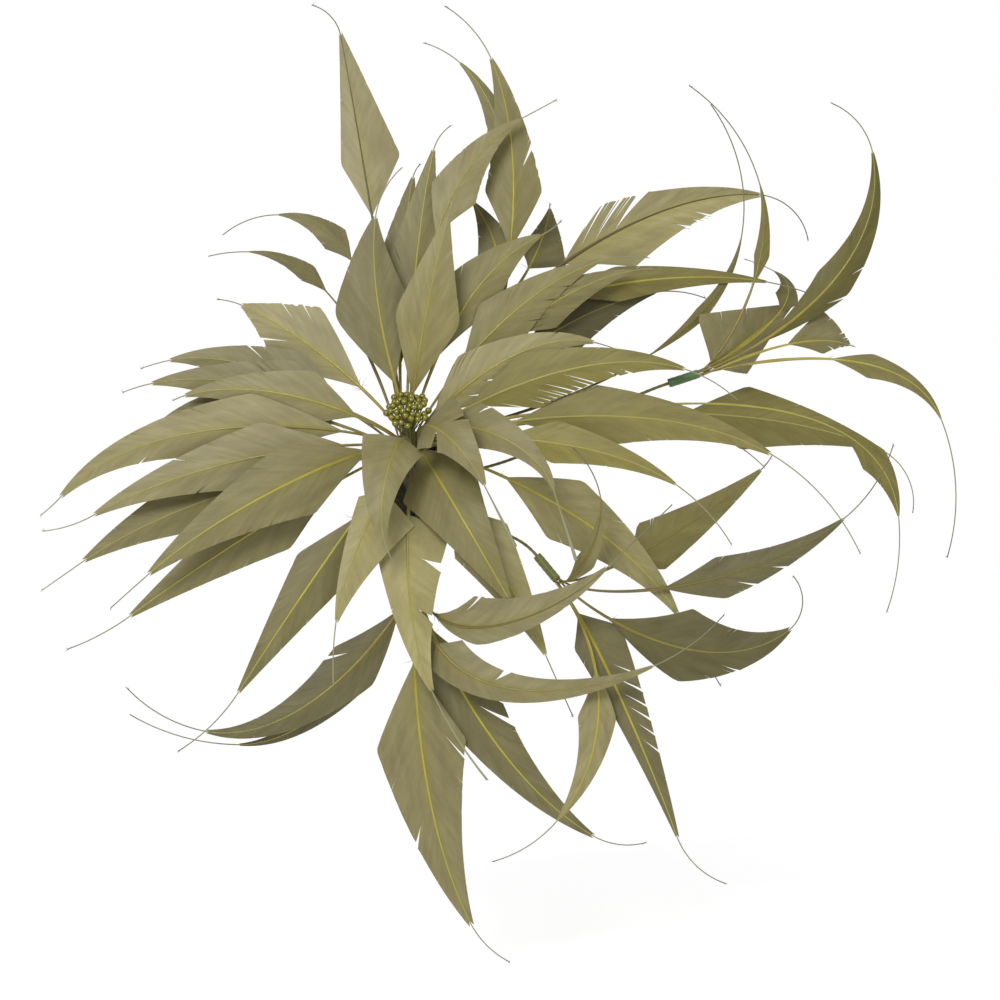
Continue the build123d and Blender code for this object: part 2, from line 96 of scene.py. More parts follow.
stamen_dome = 3.5
stamen_stagger = 1.4
bead_radius = 1.5
stamen_root = 8.0

# ---------------------------------------------------------------- the feathers


@dataclass
class Feather:
    """One trimmed feather. Bearings and headings are degrees from +X towards +Z, seen from the front."""

    node: str  # the CAD node that it stands for
    bundle: str  # the binding that holds its root
    ring: int  # which ring of roots it stands in, counted from the middle
    rise: float  # how far the quill keeps on along the binding's axis before it bends, mm
    bearing: float  # direction from the binding's mouth to the vane's end
    reach: float  # distance to the vane's end, seen from the front, mm
    forward: float  # how far the vane's end stands in front of the mouth, mm
    heading: float  # direction of the quill at the vane's end
    pitch: float  # how far that direction leans to the front, degrees
    vane_start: float  # where the vane starts, as a share of the quill's length
    peak: float  # where the vane is widest, as a share of the vane's length
    left: float  # greatest half width on the left of the quill, mm
    right: float  # greatest half width on the right of the quill, mm
    roll: float  # turn of the vane about its quill, degrees
    whisker: float  # length of the bare tip beyond the vane, mm
    curl: float  # how far the whisker turns, degrees
    tears: tuple = ()  # open slits: (side, place, depth, gap in mm); side is 1 for left, -1 for right
    fringe: tuple = ()  # stretches of parted barbs: (side, from place, to place, depth)
    wisps: tuple = ()  # long free barbs: (side, from place, to place, number, length past the edge)
    down: int = 1  # loose barbs at the vane's base
    tone: float = 1.0  # brightness of the vane: partly its dye, partly painted light and shade
    warmth: float = 0.35  # 0 for grey olive, 1 for yellow olive
    split: float = 0.0  # painted shade: how much lighter the left half is painted than the right, for light falling unevenly on the two halves
    brown: float = 0.0  # 0 for a yellow-green quill on the vane, 1 for a dark brown one
    plain: float = 0.0  # 1 for a quill as dull as the vane
    skew: float = 0.0  # moves the widest place out on the left and in on the right
    soft: float = 0.03  # roundness of the widest corner
    ragged: float = 0.006  # unevenness of the cut edge, as a share of the width
    tip: float = whisker_tip_radius  # radius of the quill's very tip, mm


FEATHERS = [
    # the flower, held in the hub, anticlockwise from the right
    Feather("right_low_pair", "flower", 1, 9, 1, 142, 4, 330, 0, 0.45, 0.3, 8, 8, 0, 18, -15,
            tone=0.9, warmth=0.6, plain=0.45),
    Feather("right_fringed_pair", "flower", 1, 9, 16, 125, 14, 343, 0, 0.22, 0.3, 13, 13, 0, 27, -25,
            tears=((-1, 0.58, 0.4, 2), (-1, 0.66, 0.4, 2)), fringe=((-1, 0.04, 0.5, 0.8),), down=4,
            plain=0.45, tone=0.92, warmth=0.9),
    Feather("right_fringed_pair", "flower", 1, 9, 30, 93, 8, 348, 0, 0.15, 0.3, 13, 12, 0, 10, -10,
            tears=((-1, 0.15, 0.7, 3), (-1, 0.3, 0.8, 4), (-1, 0.42, 0.6, 3), (-1, 0.55, 0.6, 3),
            (1, 0.7, 0.3, 1)), wisps=((-1, 0.0, 0.5, 14, 8), (1, 0.0, 0.2, 5, 4)), warmth=0.3,
            tone=1.28, down=4, plain=0.45),
    Feather("right_dark", "flower", 2, 6, 33, 130, -22, 10, -10, 0.5, 0.3, 13, 13, 0, 24, -30,
            warmth=0.5, brown=0.5, tone=0.45),
    Feather("right_upper_pair", "flower", 2, 6, 39, 126, -6, 11, -5, 0.5, 0.3, 10, 10, 0, 10, -10,
            tone=0.92, warmth=0.45, plain=0.45),
    Feather("right_upper_pair", "flower", 1, 9, 45, 118, -4, 18, -5, 0.35, 0.3, 13, 13, 0, 22, -25,
            tears=((-1, 0.3, 0.3, 1.2), (-1, 0.5, 0.4, 2), (-1, 0.65, 0.4, 1.5)),
            wisps=((-1, 0.2, 0.7, 8, 5),), warmth=0.5, plain=0.45),
    Feather("right_thin", "flower", 2, 6, 33, 176, -16, 80, 0, 0.6, 0.45, 3, 3, 0, 62, 45,
            tone=0.72, warmth=0.9, brown=0.8),
    Feather("top_petal_pair", "flower", 1, 9, 59, 111, -8, 25, -10, 0.35, 0.45, 14, 12, 0, 12, 20,
            tone=0.98, warmth=0.5, plain=0.45, soft=0.1),
    Feather("top_tall", "flower", 2, 6, 72, 155, -12, 30, -15, 0.58, 0.3, 11, 11, 0, 20, 0,
            tone=1.15, warmth=0.25, plain=0.7, ragged=0.03),
    Feather("top_petal_pair", "flower", 1, 9, 81, 103, 10, 75, -10, 0.22, 0.42, 14, 16, 0, 8, 0,
            tone=1.12, warmth=0.45, plain=0.7, soft=0.1),
    Feather("top_short_pair", "flower", 2, 6, 86, 134, -10, 78, -10, 0.3, 0.4, 13, 13, 0, 14, -40,
            tone=0.92, warmth=0.5, tears=((1, 0.3, 0.4, 1.5),), ragged=0.03),
    Feather("top_short_pair", "flower", 2, 6, 90, 122, -15, 79, -10, 0.28, 0.45, 13, 13, 0, 7, -30,
            tone=0.9, warmth=0.5, ragged=0.03),
    Feather("top_broad", "flower", 0, 16, 99, 103, 5, 84, -5, 0.28, 0.45, 21, 15, 0, 26, -40,
            warmth=0.35, plain=0.3, soft=0.12, tone=0.8),
    Feather("top_diamond", "flower", 0, 16, 100, 190, -20, 101, -10, 0.55, 0.3, 10, 17, 0, 20, 60,
            warmth=0.15, brown=1.0, tone=1.22),
    Feather("top_left_thin_pair", "flower", 2, 5, 120, 123, -30, 177, -10, 0.68, 0.3, 6, 7, 0, 28, 40,
            tone=0.8, warmth=0.5, ragged=0.05, brown=0.6),
    Feather("top_left_thin_pair", "flower", 2, 3, 130, 118, -38, 177, -10, 0.66, 0.3, 4, 5, 0, 19, 15,
            tone=0.75, warmth=0.6, ragged=0.05, brown=0.6),
    Feather("top_left_broad", "flower", 1, 14, 140, 100, -14, 155, -5, 0.33, 0.55, 17, 17, 0, 12, 20,
            tears=((1, 0.38, 0.5, 1.5), (1, 0.5, 0.6, 2), (-1, 0.5, 0.4, 1), (-1, 0.3, 0.3, 1)),
            down=6, tone=1.38, warmth=0.2, ragged=0.03),
    Feather("left_back_pair", "flower", 2, 4, 160, 116, -14, 190, -5, 0.3, 0.3, 14, 14, 0, 14, 10,
            tears=((1, 0.4, 0.5, 1.5), (-1, 0.4, 0.5, 1.5)), tone=1.02, warmth=0.3, plain=0.7),
    Feather("left_back_pair", "flower", 1, 12, 166, 120, -8, 191, -5, 0.27, 0.3, 14, 14, 0, 14, 10,
            tears=((-1, 0.3, 0.5, 1.5), (1, 0.5, 0.4, 1.2)), tone=1.08, warmth=0.25, plain=0.7),
    Feather("left_short_pair", "flower", 1, 12, 167, 103, 4, 196, -5, 0.25, 0.3, 13, 13, 0, 6, 10,
            tone=1.08, warmth=0.25, plain=0.3, tears=((-1, 0.4, 0.4, 1.5), (1, 0.5, 0.4, 1.2))),
    Feather("left_short_pair", "flower", 2, 4, 175, 114, -4, 211, -5, 0.3, 0.3, 14, 14, 0, 6, 10,
            tone=1.00, warmth=0.3, plain=0.7),
    Feather("left_long", "flower", 1, 12, 188, 156, 10, 228, 0, 0.18, 0.3, 15, 15, 0, 12, -10,
            tone=1.22, warmth=0.25, plain=0.7, tears=((1, 0.6, 0.3, 1.2), (-1, 0.35, 0.3, 1.2))),
    Feather("left_low_pair", "flower", 1, 12, 192, 142, 16, 211, 0, 0.2, 0.3, 15, 15, 0, 24, -25,
            tone=1.17, warmth=0.2, plain=0.7, tears=((1, 0.3, 0.35, 2), (1, 0.45, 0.3, 1.5),
            (-1, 0.5, 0.3, 1))),
    Feather("left_low_pair", "flower", 2, 6, 199, 153, 6, 215, 0, 0.25, 0.35, 16, 18, 0, 23, 0,
            tone=0.95, warmth=0.35, plain=0.7, tears=((1, 0.35, 0.3, 1.5), (-1, 0.3, 0.4, 2),
            (-1, 0.45, 0.35, 1.5))),
    Feather("left_bright", "flower", 0, 16, 206, 125, 36, 222, 5, 0.16, 0.3, 17, 17, 0, 22, 0,
            warmth=0.4, tone=0.92, tears=((1, 0.3, 0.3, 0.8), (1, 0.42, 0.25, 0.8), (-1, 0.25, 0.3, 1))),
    Feather("left_under", "flower", 1, 12, 211, 143, 20, 217, 5, 0.25, 0.3, 15, 15, 0, 31, -17,
            tone=0.90, warmth=0.4),
    Feather("left_down", "flower", 1, 9, 235, 130, 28, 238, 0, 0.3, 0.3, 13, 12, 0, 37, -26,
            down=6, warmth=0.5, tone=0.76),
    Feather("front_left", "flower", 1, 9, 247, 82, 29.5, 262, 0, 0.3, 0.1, 19, 9, 0, 27, 10,
            warmth=0.35, plain=0.7, tone=1.4),
    Feather("front_curl_left", "flower", 0, 34, 257, 44, 40, 290, -20, 0.26, 0.08, 12, 17, 0, 6, 0,
            tone=1.05, warmth=0.35, soft=0.05, plain=0.7),
    Feather("front_split", "flower", 1, 9, 275, 106, 27, 294, 0, 0.29, 0.12, 19, 14, 0, 46, 15,
            skew=-0.06, tears=((1, 0.22, 0.55, 4.5), (1, 0.5, 0.6, 4)), tip=0.5, tone=1.42, warmth=0.4,
            plain=0.7),
    Feather("front_inner", "flower", 2, 6, 303, 108, 18, 294, 0, 0.3, 0.22, 14, 14, 0, 30, 0,
            warmth=0.35, tone=1.42),
    Feather("front_shadowed", "flower", 1, 9, 303, 80, 30, 300, -10, 0.05, 0.2, 17, 19, 0, 4, 0,
            tone=0.86, warmth=0.6),
    Feather("front_right_long", "flower", 2, 12, 328, 138, 12, 301, 0, 0.3, 0.3, 15, 15, 0, 37, 0,
            tone=1.10, warmth=0.4),
    Feather("front_curl_right", "flower", 0, 34, 333, 36, 42, 297, -20, 0.3, 0.1, 18, 12, 0, 32, 0,
            tears=((-1, 0.30, 0.95, 6), (1, 0.30, 0.5, 3)), tip=0.8, tone=1.00, warmth=0.35, plain=0.7),
    Feather("front_curl_far", "flower", 0, 24, 343, 65, 38, 288, -10, 0.3, 0.2, 12, 9, 0, 32, 0,
            tears=((1, 0.12, 0.4, 2),), tip=0.8, tone=1.05, warmth=0.3, plain=0.7),
    Feather("right_lower", "flower", 1, 9, 352, 117, 20, 326, 0, 0.32, 0.3, 10, 9, 0, 36, -25,
            warmth=0.9, tone=1.05, plain=0.45),
    Feather("far_right_pair", "flower", 2, 6, 352, 218, 0, 276, 0, 0.8, 0.4, 6, 7, 0, 43, -25,
            warmth=0.9, tone=0.8),
    Feather("right_low_pair", "flower", 1, 9, 359, 158, 12, 330, 0, 0.28, 0.3, 14, 14, 0, 60, -35,
            split=-0.1, tone=1.00, plain=0.45, warmth=0.75),
    Feather("far_right_pair", "flower", 2, 6, 360, 210, -20, 337, 0, 0.57, 0.3, 14, 15, 0, 35, -75,
            tone=0.84, split=0.1, plain=0.45, warmth=0.8),
    # the back spray
    Feather("back_spray_right", "back", 0, 6, 7, 121, 0, 350, 0, 0.2, 0.3, 8, 8, 0, 20, -10,
            warmth=0.9, tone=0.8),
    Feather("back_spray_fringed", "back", 0, 6, 25, 130, -10, 356, 0, 0.27, 0.3, 14, 18, 0, 32, -75,
            fringe=((1, 0.02, 0.25, 0.9),), tears=((1, 0.1, 0.9, 1.5), (1, 0.18, 0.95, 2),
            (1, 0.29, 0.9, 6), (-1, 0.45, 0.4, 2), (-1, 0.52, 0.3, 1.2), (-1, 0.6, 0.4, 2)),
            wisps=((-1, 0.4, 0.6, 6, 3),), brown=1.0, tone=1.35, warmth=0.3, split=-0.2),
    Feather("back_spray_short_pair", "back", 0, 6, 66, 56, -35, 83, -30, 0.45, 0.3, 8, 15, 0, 3, 0,
            tone=0.85),
    Feather("back_spray_tall_pair", "back", 0, 6, 92, 116, -5, 113, 0, 0.25, 0.3, 13, 13, 0, 32, 35,
            tears=((-1, 0.35, 0.6, 3), (1, 0.5, 0.4, 1.5)), tone=0.95, ragged=0.03, warmth=0.5),
    Feather("back_spray_tall_pair", "back", 0, 6, 99, 117, -15, 137, -5, 0.4, 0.3, 8, 8, 0, 19, 25,
            tears=((1, 0.3, 0.6, 3),), tone=0.92, ragged=0.03, warmth=0.5),
    Feather("back_spray_short_pair", "back", 0, 6, 103, 54, -20, 127, -15, 0.3, 0.3, 10, 10, 0, 3, 0,
            tone=0.85),
    # the right spray
    Feather("right_spray_long", "right", 0, 10, 349, 108, 10, 292, 0, 0.5, 0.3, 5, 6, 0, 62, -38,
            tone=0.85, warmth=0.7),
    Feather("right_spray_short_pair", "right", 0, 6, 11, 69, -8, 343, -30, 0.58, 0.55, 14, 6, 0, 3, 0,
            fringe=((1, 0.6, 0.95, 0.5), (-1, 0.5, 0.95, 0.5)), tone=0.85, warmth=0.4),
    Feather("right_spray_broad", "right", 0, 6, 36, 54, -30, 36, -25, 0.12, 0.25, 23, 12, 0, 3, 0,
            tone=1.00, warmth=0.3),
    Feather("right_spray_short_pair", "right", 0, 12, 53, 60, -30, 150, -20, 0.66, 0.3, 6, 6, 0, 15, 10,
            tone=0.8, warmth=0.5),
    Feather("right_spray_tall", "right", 0, 30, 52, 126, -5, 101, 0, 0.22, 0.4, 8, 9, 0, 29, 55,
            tears=((-1, 0.25, 0.5, 1.5), (-1, 0.4, 0.4, 1)), warmth=1.0, split=0.15, brown=0.3,
            tone=0.55),
    Feather("right_spray_thin_pair", "right", 0, 10, 72, 89, -5, 105, 0, 0.5, 0.3, 3, 4, 0, 55, 40,
            tone=0.75, warmth=0.9, brown=0.6),
    # the front spray
    Feather("front_spray_right_pair", "front", 0, 10, 28, 103, -16, 41, 0, 0.33, 0.15, 12, 12, 0, 8, 20,
            down=10, tone=0.80, brown=0.7, warmth=0.75),
    Feather("front_spray_right_pair", "front", 0, 16, 12, 129, -2, 38, 0, 0.35, 0.3, 9, 10, 0, 40, 35,
            tears=((-1, 0.3, 0.5, 2), (-1, 0.5, 0.5, 2)), down=6, warmth=0.3, brown=0.8, tone=0.6),
    Feather("front_spray_broad", "front", 0, 20, 348, 104, 5, 38, 0, 0.25, 0.42, 18, 15, 0, 26, 90,
            tears=((-1, 0.5, 0.3, 1.5),), down=6, warmth=0.6, brown=0.6, tone=0.48),
    Feather("front_spray_down_pair", "front", 0, 20, 295, 124, 8, 290, 0, 0.14, 0.12, 14, 9, 0, 30, 50,
            tears=((1, 0.22, 0.7, 1.2), (1, 0.29, 0.8, 1.6), (1, 0.36, 0.8, 1.2), (1, 0.42, 0.8, 1.6),
            (1, 0.49, 0.7, 1.2), (1, 0.56, 0.7, 1.4)), tone=0.65, warmth=0.35),
    Feather("front_spray_down_pair", "front", 0, 34, 270, 104, 14, 231, 0, 0.38, 0.3, 8, 9, 0, 34, -35,
            tone=1.15, warmth=0.3),
    Feather("front_spray_curl", "front", 0, 9, 62, 40, 14, 97, 0, 0.1, 0.3, 4, 5, 0, 26, 40,
            tone=0.9, warmth=0.5, brown=0.7),
    # the lower spray
    Feather("lower_crescent_pair", "lower", 0, 42, 2, 83, 34, 44, 0, 0.2, 0.25, 14, 8, 0, 39, 0,
            tears=((1, 0.1, 0.5, 2),), down=6, tone=1.03, warmth=0.2, brown=0.8, ragged=0.03),
    Feather("lower_crescent_pair", "lower", 0, 62, 339, 111, 26, 23, 0, 0.25, 0.06, 10, 9, 0, 38, 25,
            tears=((1, 0.3, 0.7, 4),), down=4, tone=1.0, warmth=0.3, brown=0.6),
    Feather("lower_right", "lower", 0, 14, 304, 140, 4, 329, 0, 0.18, 0.25, 15, 15, 0, 24, 45,
            tears=((1, 0.3, 0.7, 5), (1, 0.2, 0.5, 1)), down=4, warmth=0.35, tone=0.7),
    Feather("lower_long", "lower", 0, 10, 279, 156, 10, 297, 0, 0.25, 0.3, 20, 20, 0, 24, 35,
            tears=((-1, 0.5, 0.35, 3), (1, 0.15, 0.4, 1.5)), warmth=0.35, tone=0.93),
    Feather("lower_left_pair", "lower", 0, 9, 224, 109, 4, 180, 0, 0.2, 0.3, 7, 7, 0, 50, -30,
            down=5, tone=0.58),
    Feather("lower_left_pair", "lower", 0, 10, 217, 115, 12, 170, 0, 0.15, 0.3, 12, 12, 0, 40, -36,
            tears=((-1, 0.2, 0.5, 3),), down=8, warmth=0.35, brown=0.5, tone=0.58),
]

# ---------------------------------------------------------------- meshes


def lengths_along(points):
    """The length travelled along the points, at each of them."""
    travelled = [0.0]
    for before, after in zip(points, points[1:]):
        travelled.append(travelled[-1] + (after - before).length)
    return travelled


def directions_across(axis):
    """Any two directions square to an axis and to each other."""
    side = axis.cross(Vector((0.3, 0.2, 1))).normalized()
    return side, axis.cross(side)


class Shape:
    """Collects one piece's points and faces, in millimetres, with the values its materials read."""

    def __init__(self, seed=0):
        self.points = []
        self.spots = []  # texture place of each point: (along, across, seed)
        self.shades = []  # a value from 0 to 1 that a material may read
        self.tones = []  # (brightness, warmth, 0) of each point
        self.faces = []
        self.slots = []
        self.seed = seed
        self.tone = (1.0, 0.0, 0.0)

    def add_point(self, point, spot=(0.0, 0.0), shade=0.0):
        self.points.append(point)
        self.spots.append((spot[0], spot[1], self.seed))
        self.shades.append(shade)
        self.tones.append(self.tone)
        return len(self.points) - 1

    def add_face(self, corners, slot=0):
        self.faces.append(corners)
        self.slots.append(slot)

    def join_rows(self, first, second, slot=0, around=False):
        """Faces between two rows of point numbers."""
        steps = len(first) if around else len(first) - 1
        for k in range(steps):
            after = (k + 1) % len(first)
            self.add_face((first[k], first[after], second[after], second[k]), slot)

    def add_tube(self, points, radius, slot=0, sides=8, shade=None, flat=1.0, face=FRONT):
        """A closed tube through the points. radius and shade are functions of the share of its length,
        and flat is its thickness as a share of its width."""
        travelled = lengths_along(points)
        total = max(travelled[-1], 1e-6)
        side = None
        rows = []
        last = len(points) - 1
        for i, point in enumerate(points):
            along = (points[min(i + 1, last)] - points[max(i - 1, 0)]).normalized()
            if side is None:
                side = along.cross(face if abs(along.dot(face)) < 0.9 else Vector((0.3, 0, 1)))
            side = (side - along * side.dot(along)).normalized()
            up = side.cross(along)
            share = travelled[i] / total
            size = radius(share)
            value = shade(share) if shade else 0.0
            row = []
            for k in range(sides):
                angle = 2 * pi * k / sides
                offset = side * (size * cos(angle)) + up * (size * flat * sin(angle))
                row.append(self.add_point(point + offset, (travelled[i], size * angle), value))
            rows.append(row)
        for first, second in zip(rows, rows[1:]):
            self.join_rows(first, second, slot, around=True)
        self.add_face(tuple(reversed(rows[0])), slot)
        self.add_face(tuple(rows[-1]), slot)

    def add_sheet(self, rows, thickness, slot=0):
        """A thin closed sheet. rows hold (point, normal, texture place, shade)."""
        fronts = []
        backs = []
        for row in rows:
            for numbers, way in ((fronts, 0.5), (backs, -0.5)):
                numbers.append(
                    [self.add_point(p + n * (thickness * way), spot, shade) for p, n, spot, shade in row]
                )
        for first, second in zip(fronts, fronts[1:]):
            self.join_rows(first, second, slot)
        for first, second in zip(backs, backs[1:]):
            self.join_rows(second, first, slot)
        rims = []
        for face in (backs, fronts):
            right = [row[-1] for row in face[1:]]
            left = [row[0] for row in face[-2:0:-1]]
            rims.append(face[0] + right + face[-1][-2::-1] + left)
        self.join_rows(rims[0], rims[1], slot, around=True)

    def make(self, name, materials, nodes=()):
        """Turns the shape into a piece that rides on the model and stands for the CAD nodes."""
        mesh = bpy.data.meshes.new(name)
        mesh.from_pydata([point * MM for point in self.points], [], self.faces)
        for material in materials:
            mesh.materials.append(material)
        mesh.polygons.foreach_set("material_index", self.slots)
        spots = mesh.attributes.new("spot", "FLOAT_VECTOR", "POINT")
        spots.data.foreach_set("vector", [value for spot in self.spots for value in spot])
        tones = mesh.attributes.new("tone", "FLOAT_VECTOR", "POINT")
        tones.data.foreach_set("vector", [value for tone in self.tones for value in tone])
        shades = mesh.attributes.new("shade", "FLOAT", "POINT")
        shades.data.foreach_set("value", self.shades)
        mesh.shade_smooth()
        mesh.set_sharp_from_angle(angle=radians(50))
        mesh.validate()
        piece = bpy.data.objects.new(name, mesh)
        bpy.context.scene.collection.objects.link(piece)
        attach(piece, "root")
        if nodes:
            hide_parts(*nodes)
        return piece


# ---------------------------------------------------------------- lines of the feathers


def turned(vector, axis, degrees):
    """The vector, turned about an axis through the origin."""
    return Matrix.Rotation(radians(degrees), 3, axis) @ vector


def on_curve(corners, t):
    """A point of the cubic curve with these four control points."""
    u = 1 - t
    return corners[0] * u**3 + corners[1] * (3 * u * u * t) + corners[2] * (3 * u * t * t) + corners[3] * t**3


def ring_directions(axis):
    """Two directions across a binding: the first nearest to +X, the second towards up and front."""
    across = (Vector((1, 0, 0)) - axis * axis.x).normalized()
    up = axis.cross(across)
    if up.dot(Vector((0, -1, 1))) < 0:
        up = -up
    return across, up


def ring_radius(bundle, ring):
    """Radius of a ring of quill roots, counted from the middle of the binding."""
    core = stamen_bunch_radius if bundle == "flower" else stem_radius
    return core + root_radius + ring_gap + ring * 2 * (root_radius + ring_gap)


def binding_frame(bundle):
    """The middle of a binding's mouth, and the direction in which its quills leave."""
    return (hub_mouth, hub_axis) if bundle == "flower" else spray_mouths[bundle]


def root_place(feather):
    """Where a quill crosses its binding's mouth: evenly spaced round the ring, in order of bearing."""
    mouth, axis = binding_frame(feather.bundle)
    ring = [f for f in FEATHERS if (f.bundle, f.ring) == (feather.bundle, feather.ring)]
    ring.sort(key=lambda f: (f.bearing + 5) % 360)
    place = next(i for i, f in enumerate(ring) if f is feather)
    angle = radians(ring[0].bearing + 360 * place / len(ring))
    across, up = ring_directions(axis)
    return mouth + (across * cos(angle) + up * sin(angle)) * ring_radius(feather.bundle, feather.ring)


class Spine:
    """A feather's centre line, with its length measured from the binding's mouth to the vane's end."""

    steps = 120

    def __init__(self, feather):
        mouth, axis = binding_frame(feather.bundle)
        root = root_place(feather)
        bearing, heading, pitch = (radians(a) for a in (feather.bearing, feather.heading, feather.pitch))
        end = mouth + Vector((feather.reach * cos(bearing), -feather.forward, feather.reach * sin(bearing)))
        leaving = Vector((cos(heading) * cos(pitch), -sin(pitch), sin(heading) * cos(pitch)))
        handle = (end - root).length * handle_share
        corners = (root, root + axis * feather.rise, end - leaving * handle, end)
        self.points = [on_curve(corners, i / self.steps) for i in range(self.steps + 1)]
        self.reach = lengths_along(self.points)
        self.length = self.reach[-1]
        self.alongs = []
        for i in range(self.steps + 1):
            step = self.points[min(i + 1, self.steps)] - self.points[max(i - 1, 0)]
            self.alongs.append(step.normalized())
        self.alongs[0] = axis
        self.alongs[-1] = leaving
        anchor = next(i for i in range(self.steps + 1) if self.reach[i] > 0.6 * self.length)
        face = turned(FRONT, self.alongs[anchor], feather.roll)
        self.sides = [None] * (self.steps + 1)
        self.sides[anchor] = face.cross(self.alongs[anchor]).normalized()
        for i in list(range(anchor - 1, -1, -1)) + list(range(anchor + 1, self.steps + 1)):
            last = self.sides[i + 1] if i < anchor else self.sides[i - 1]
            self.sides[i] = (last - self.alongs[i] * last.dot(self.alongs[i])).normalized()
        self.axis = axis
        self.leaving = leaving

    def at(self, length):
        """(point, direction, left, face) at a length along the quill."""
        if length >= self.length:
            along, side = self.alongs[-1], self.sides[-1]
            return self.points[-1] + along * (length - self.length), along, side, along.cross(side)
        length = max(length, 0.0)
        low, high = 0, self.steps
        while high - low > 1:
            middle = (low + high) // 2
            if self.reach[middle] <= length:
                low = middle
            else:
                high = middle
        share = (length - self.reach[low]) / max(self.reach[high] - self.reach[low], 1e-9)
        point = self.points[low].lerp(self.points[high], share)
        along = self.alongs[low].lerp(self.alongs[high], share).normalized()
        side = self.sides[low].lerp(self.sides[high], share).normalized()
        return point, along, side, along.cross(side)


# ---------------------------------------------------------------- feathers

vane_thickness = 0.16
barb_step = 1.0  # spacing of the mesh's barb lines along the quill
barb_rows = 8
droop = 0.10  # how far the edges fall back, as a share of the width
tip_angle = 19.0  # barbs to the quill, near the vane's end
base_angle = 36.0
tear_reach = 3.5  # how many barb lines a tear pushes aside


def quill_radius(place):
    """Radius of the quill at a place: 0 at the binding's mouth, 1 at the vane's end, 2 at the tip."""
    if place <= 0:
        return root_radius
    if place < stalk_place:
        return root_radius + (stalk_radius - root_radius) * place / stalk_place
    left = (1 - place) / (1 - stalk_place)
    return quill_end_radius + (stalk_radius - quill_end_radius) * left**2.1


def vane_share(place, peak, softness):
    """Half width of the vane as a share of its greatest: two nearly straight cuts that meet at a corner."""
    rising = place / peak
    falling = 1 - (1 - vane_end_share) * (place - peak) / (1 - peak)
    low, high = min(rising, falling), max(rising, falling)
    return max(low - softness * log1p(exp((low - high) / softness)), 0.0)


def rough(*where):
    """Smooth noise from -1 to 1."""
    return noise.noise(Vector(where))


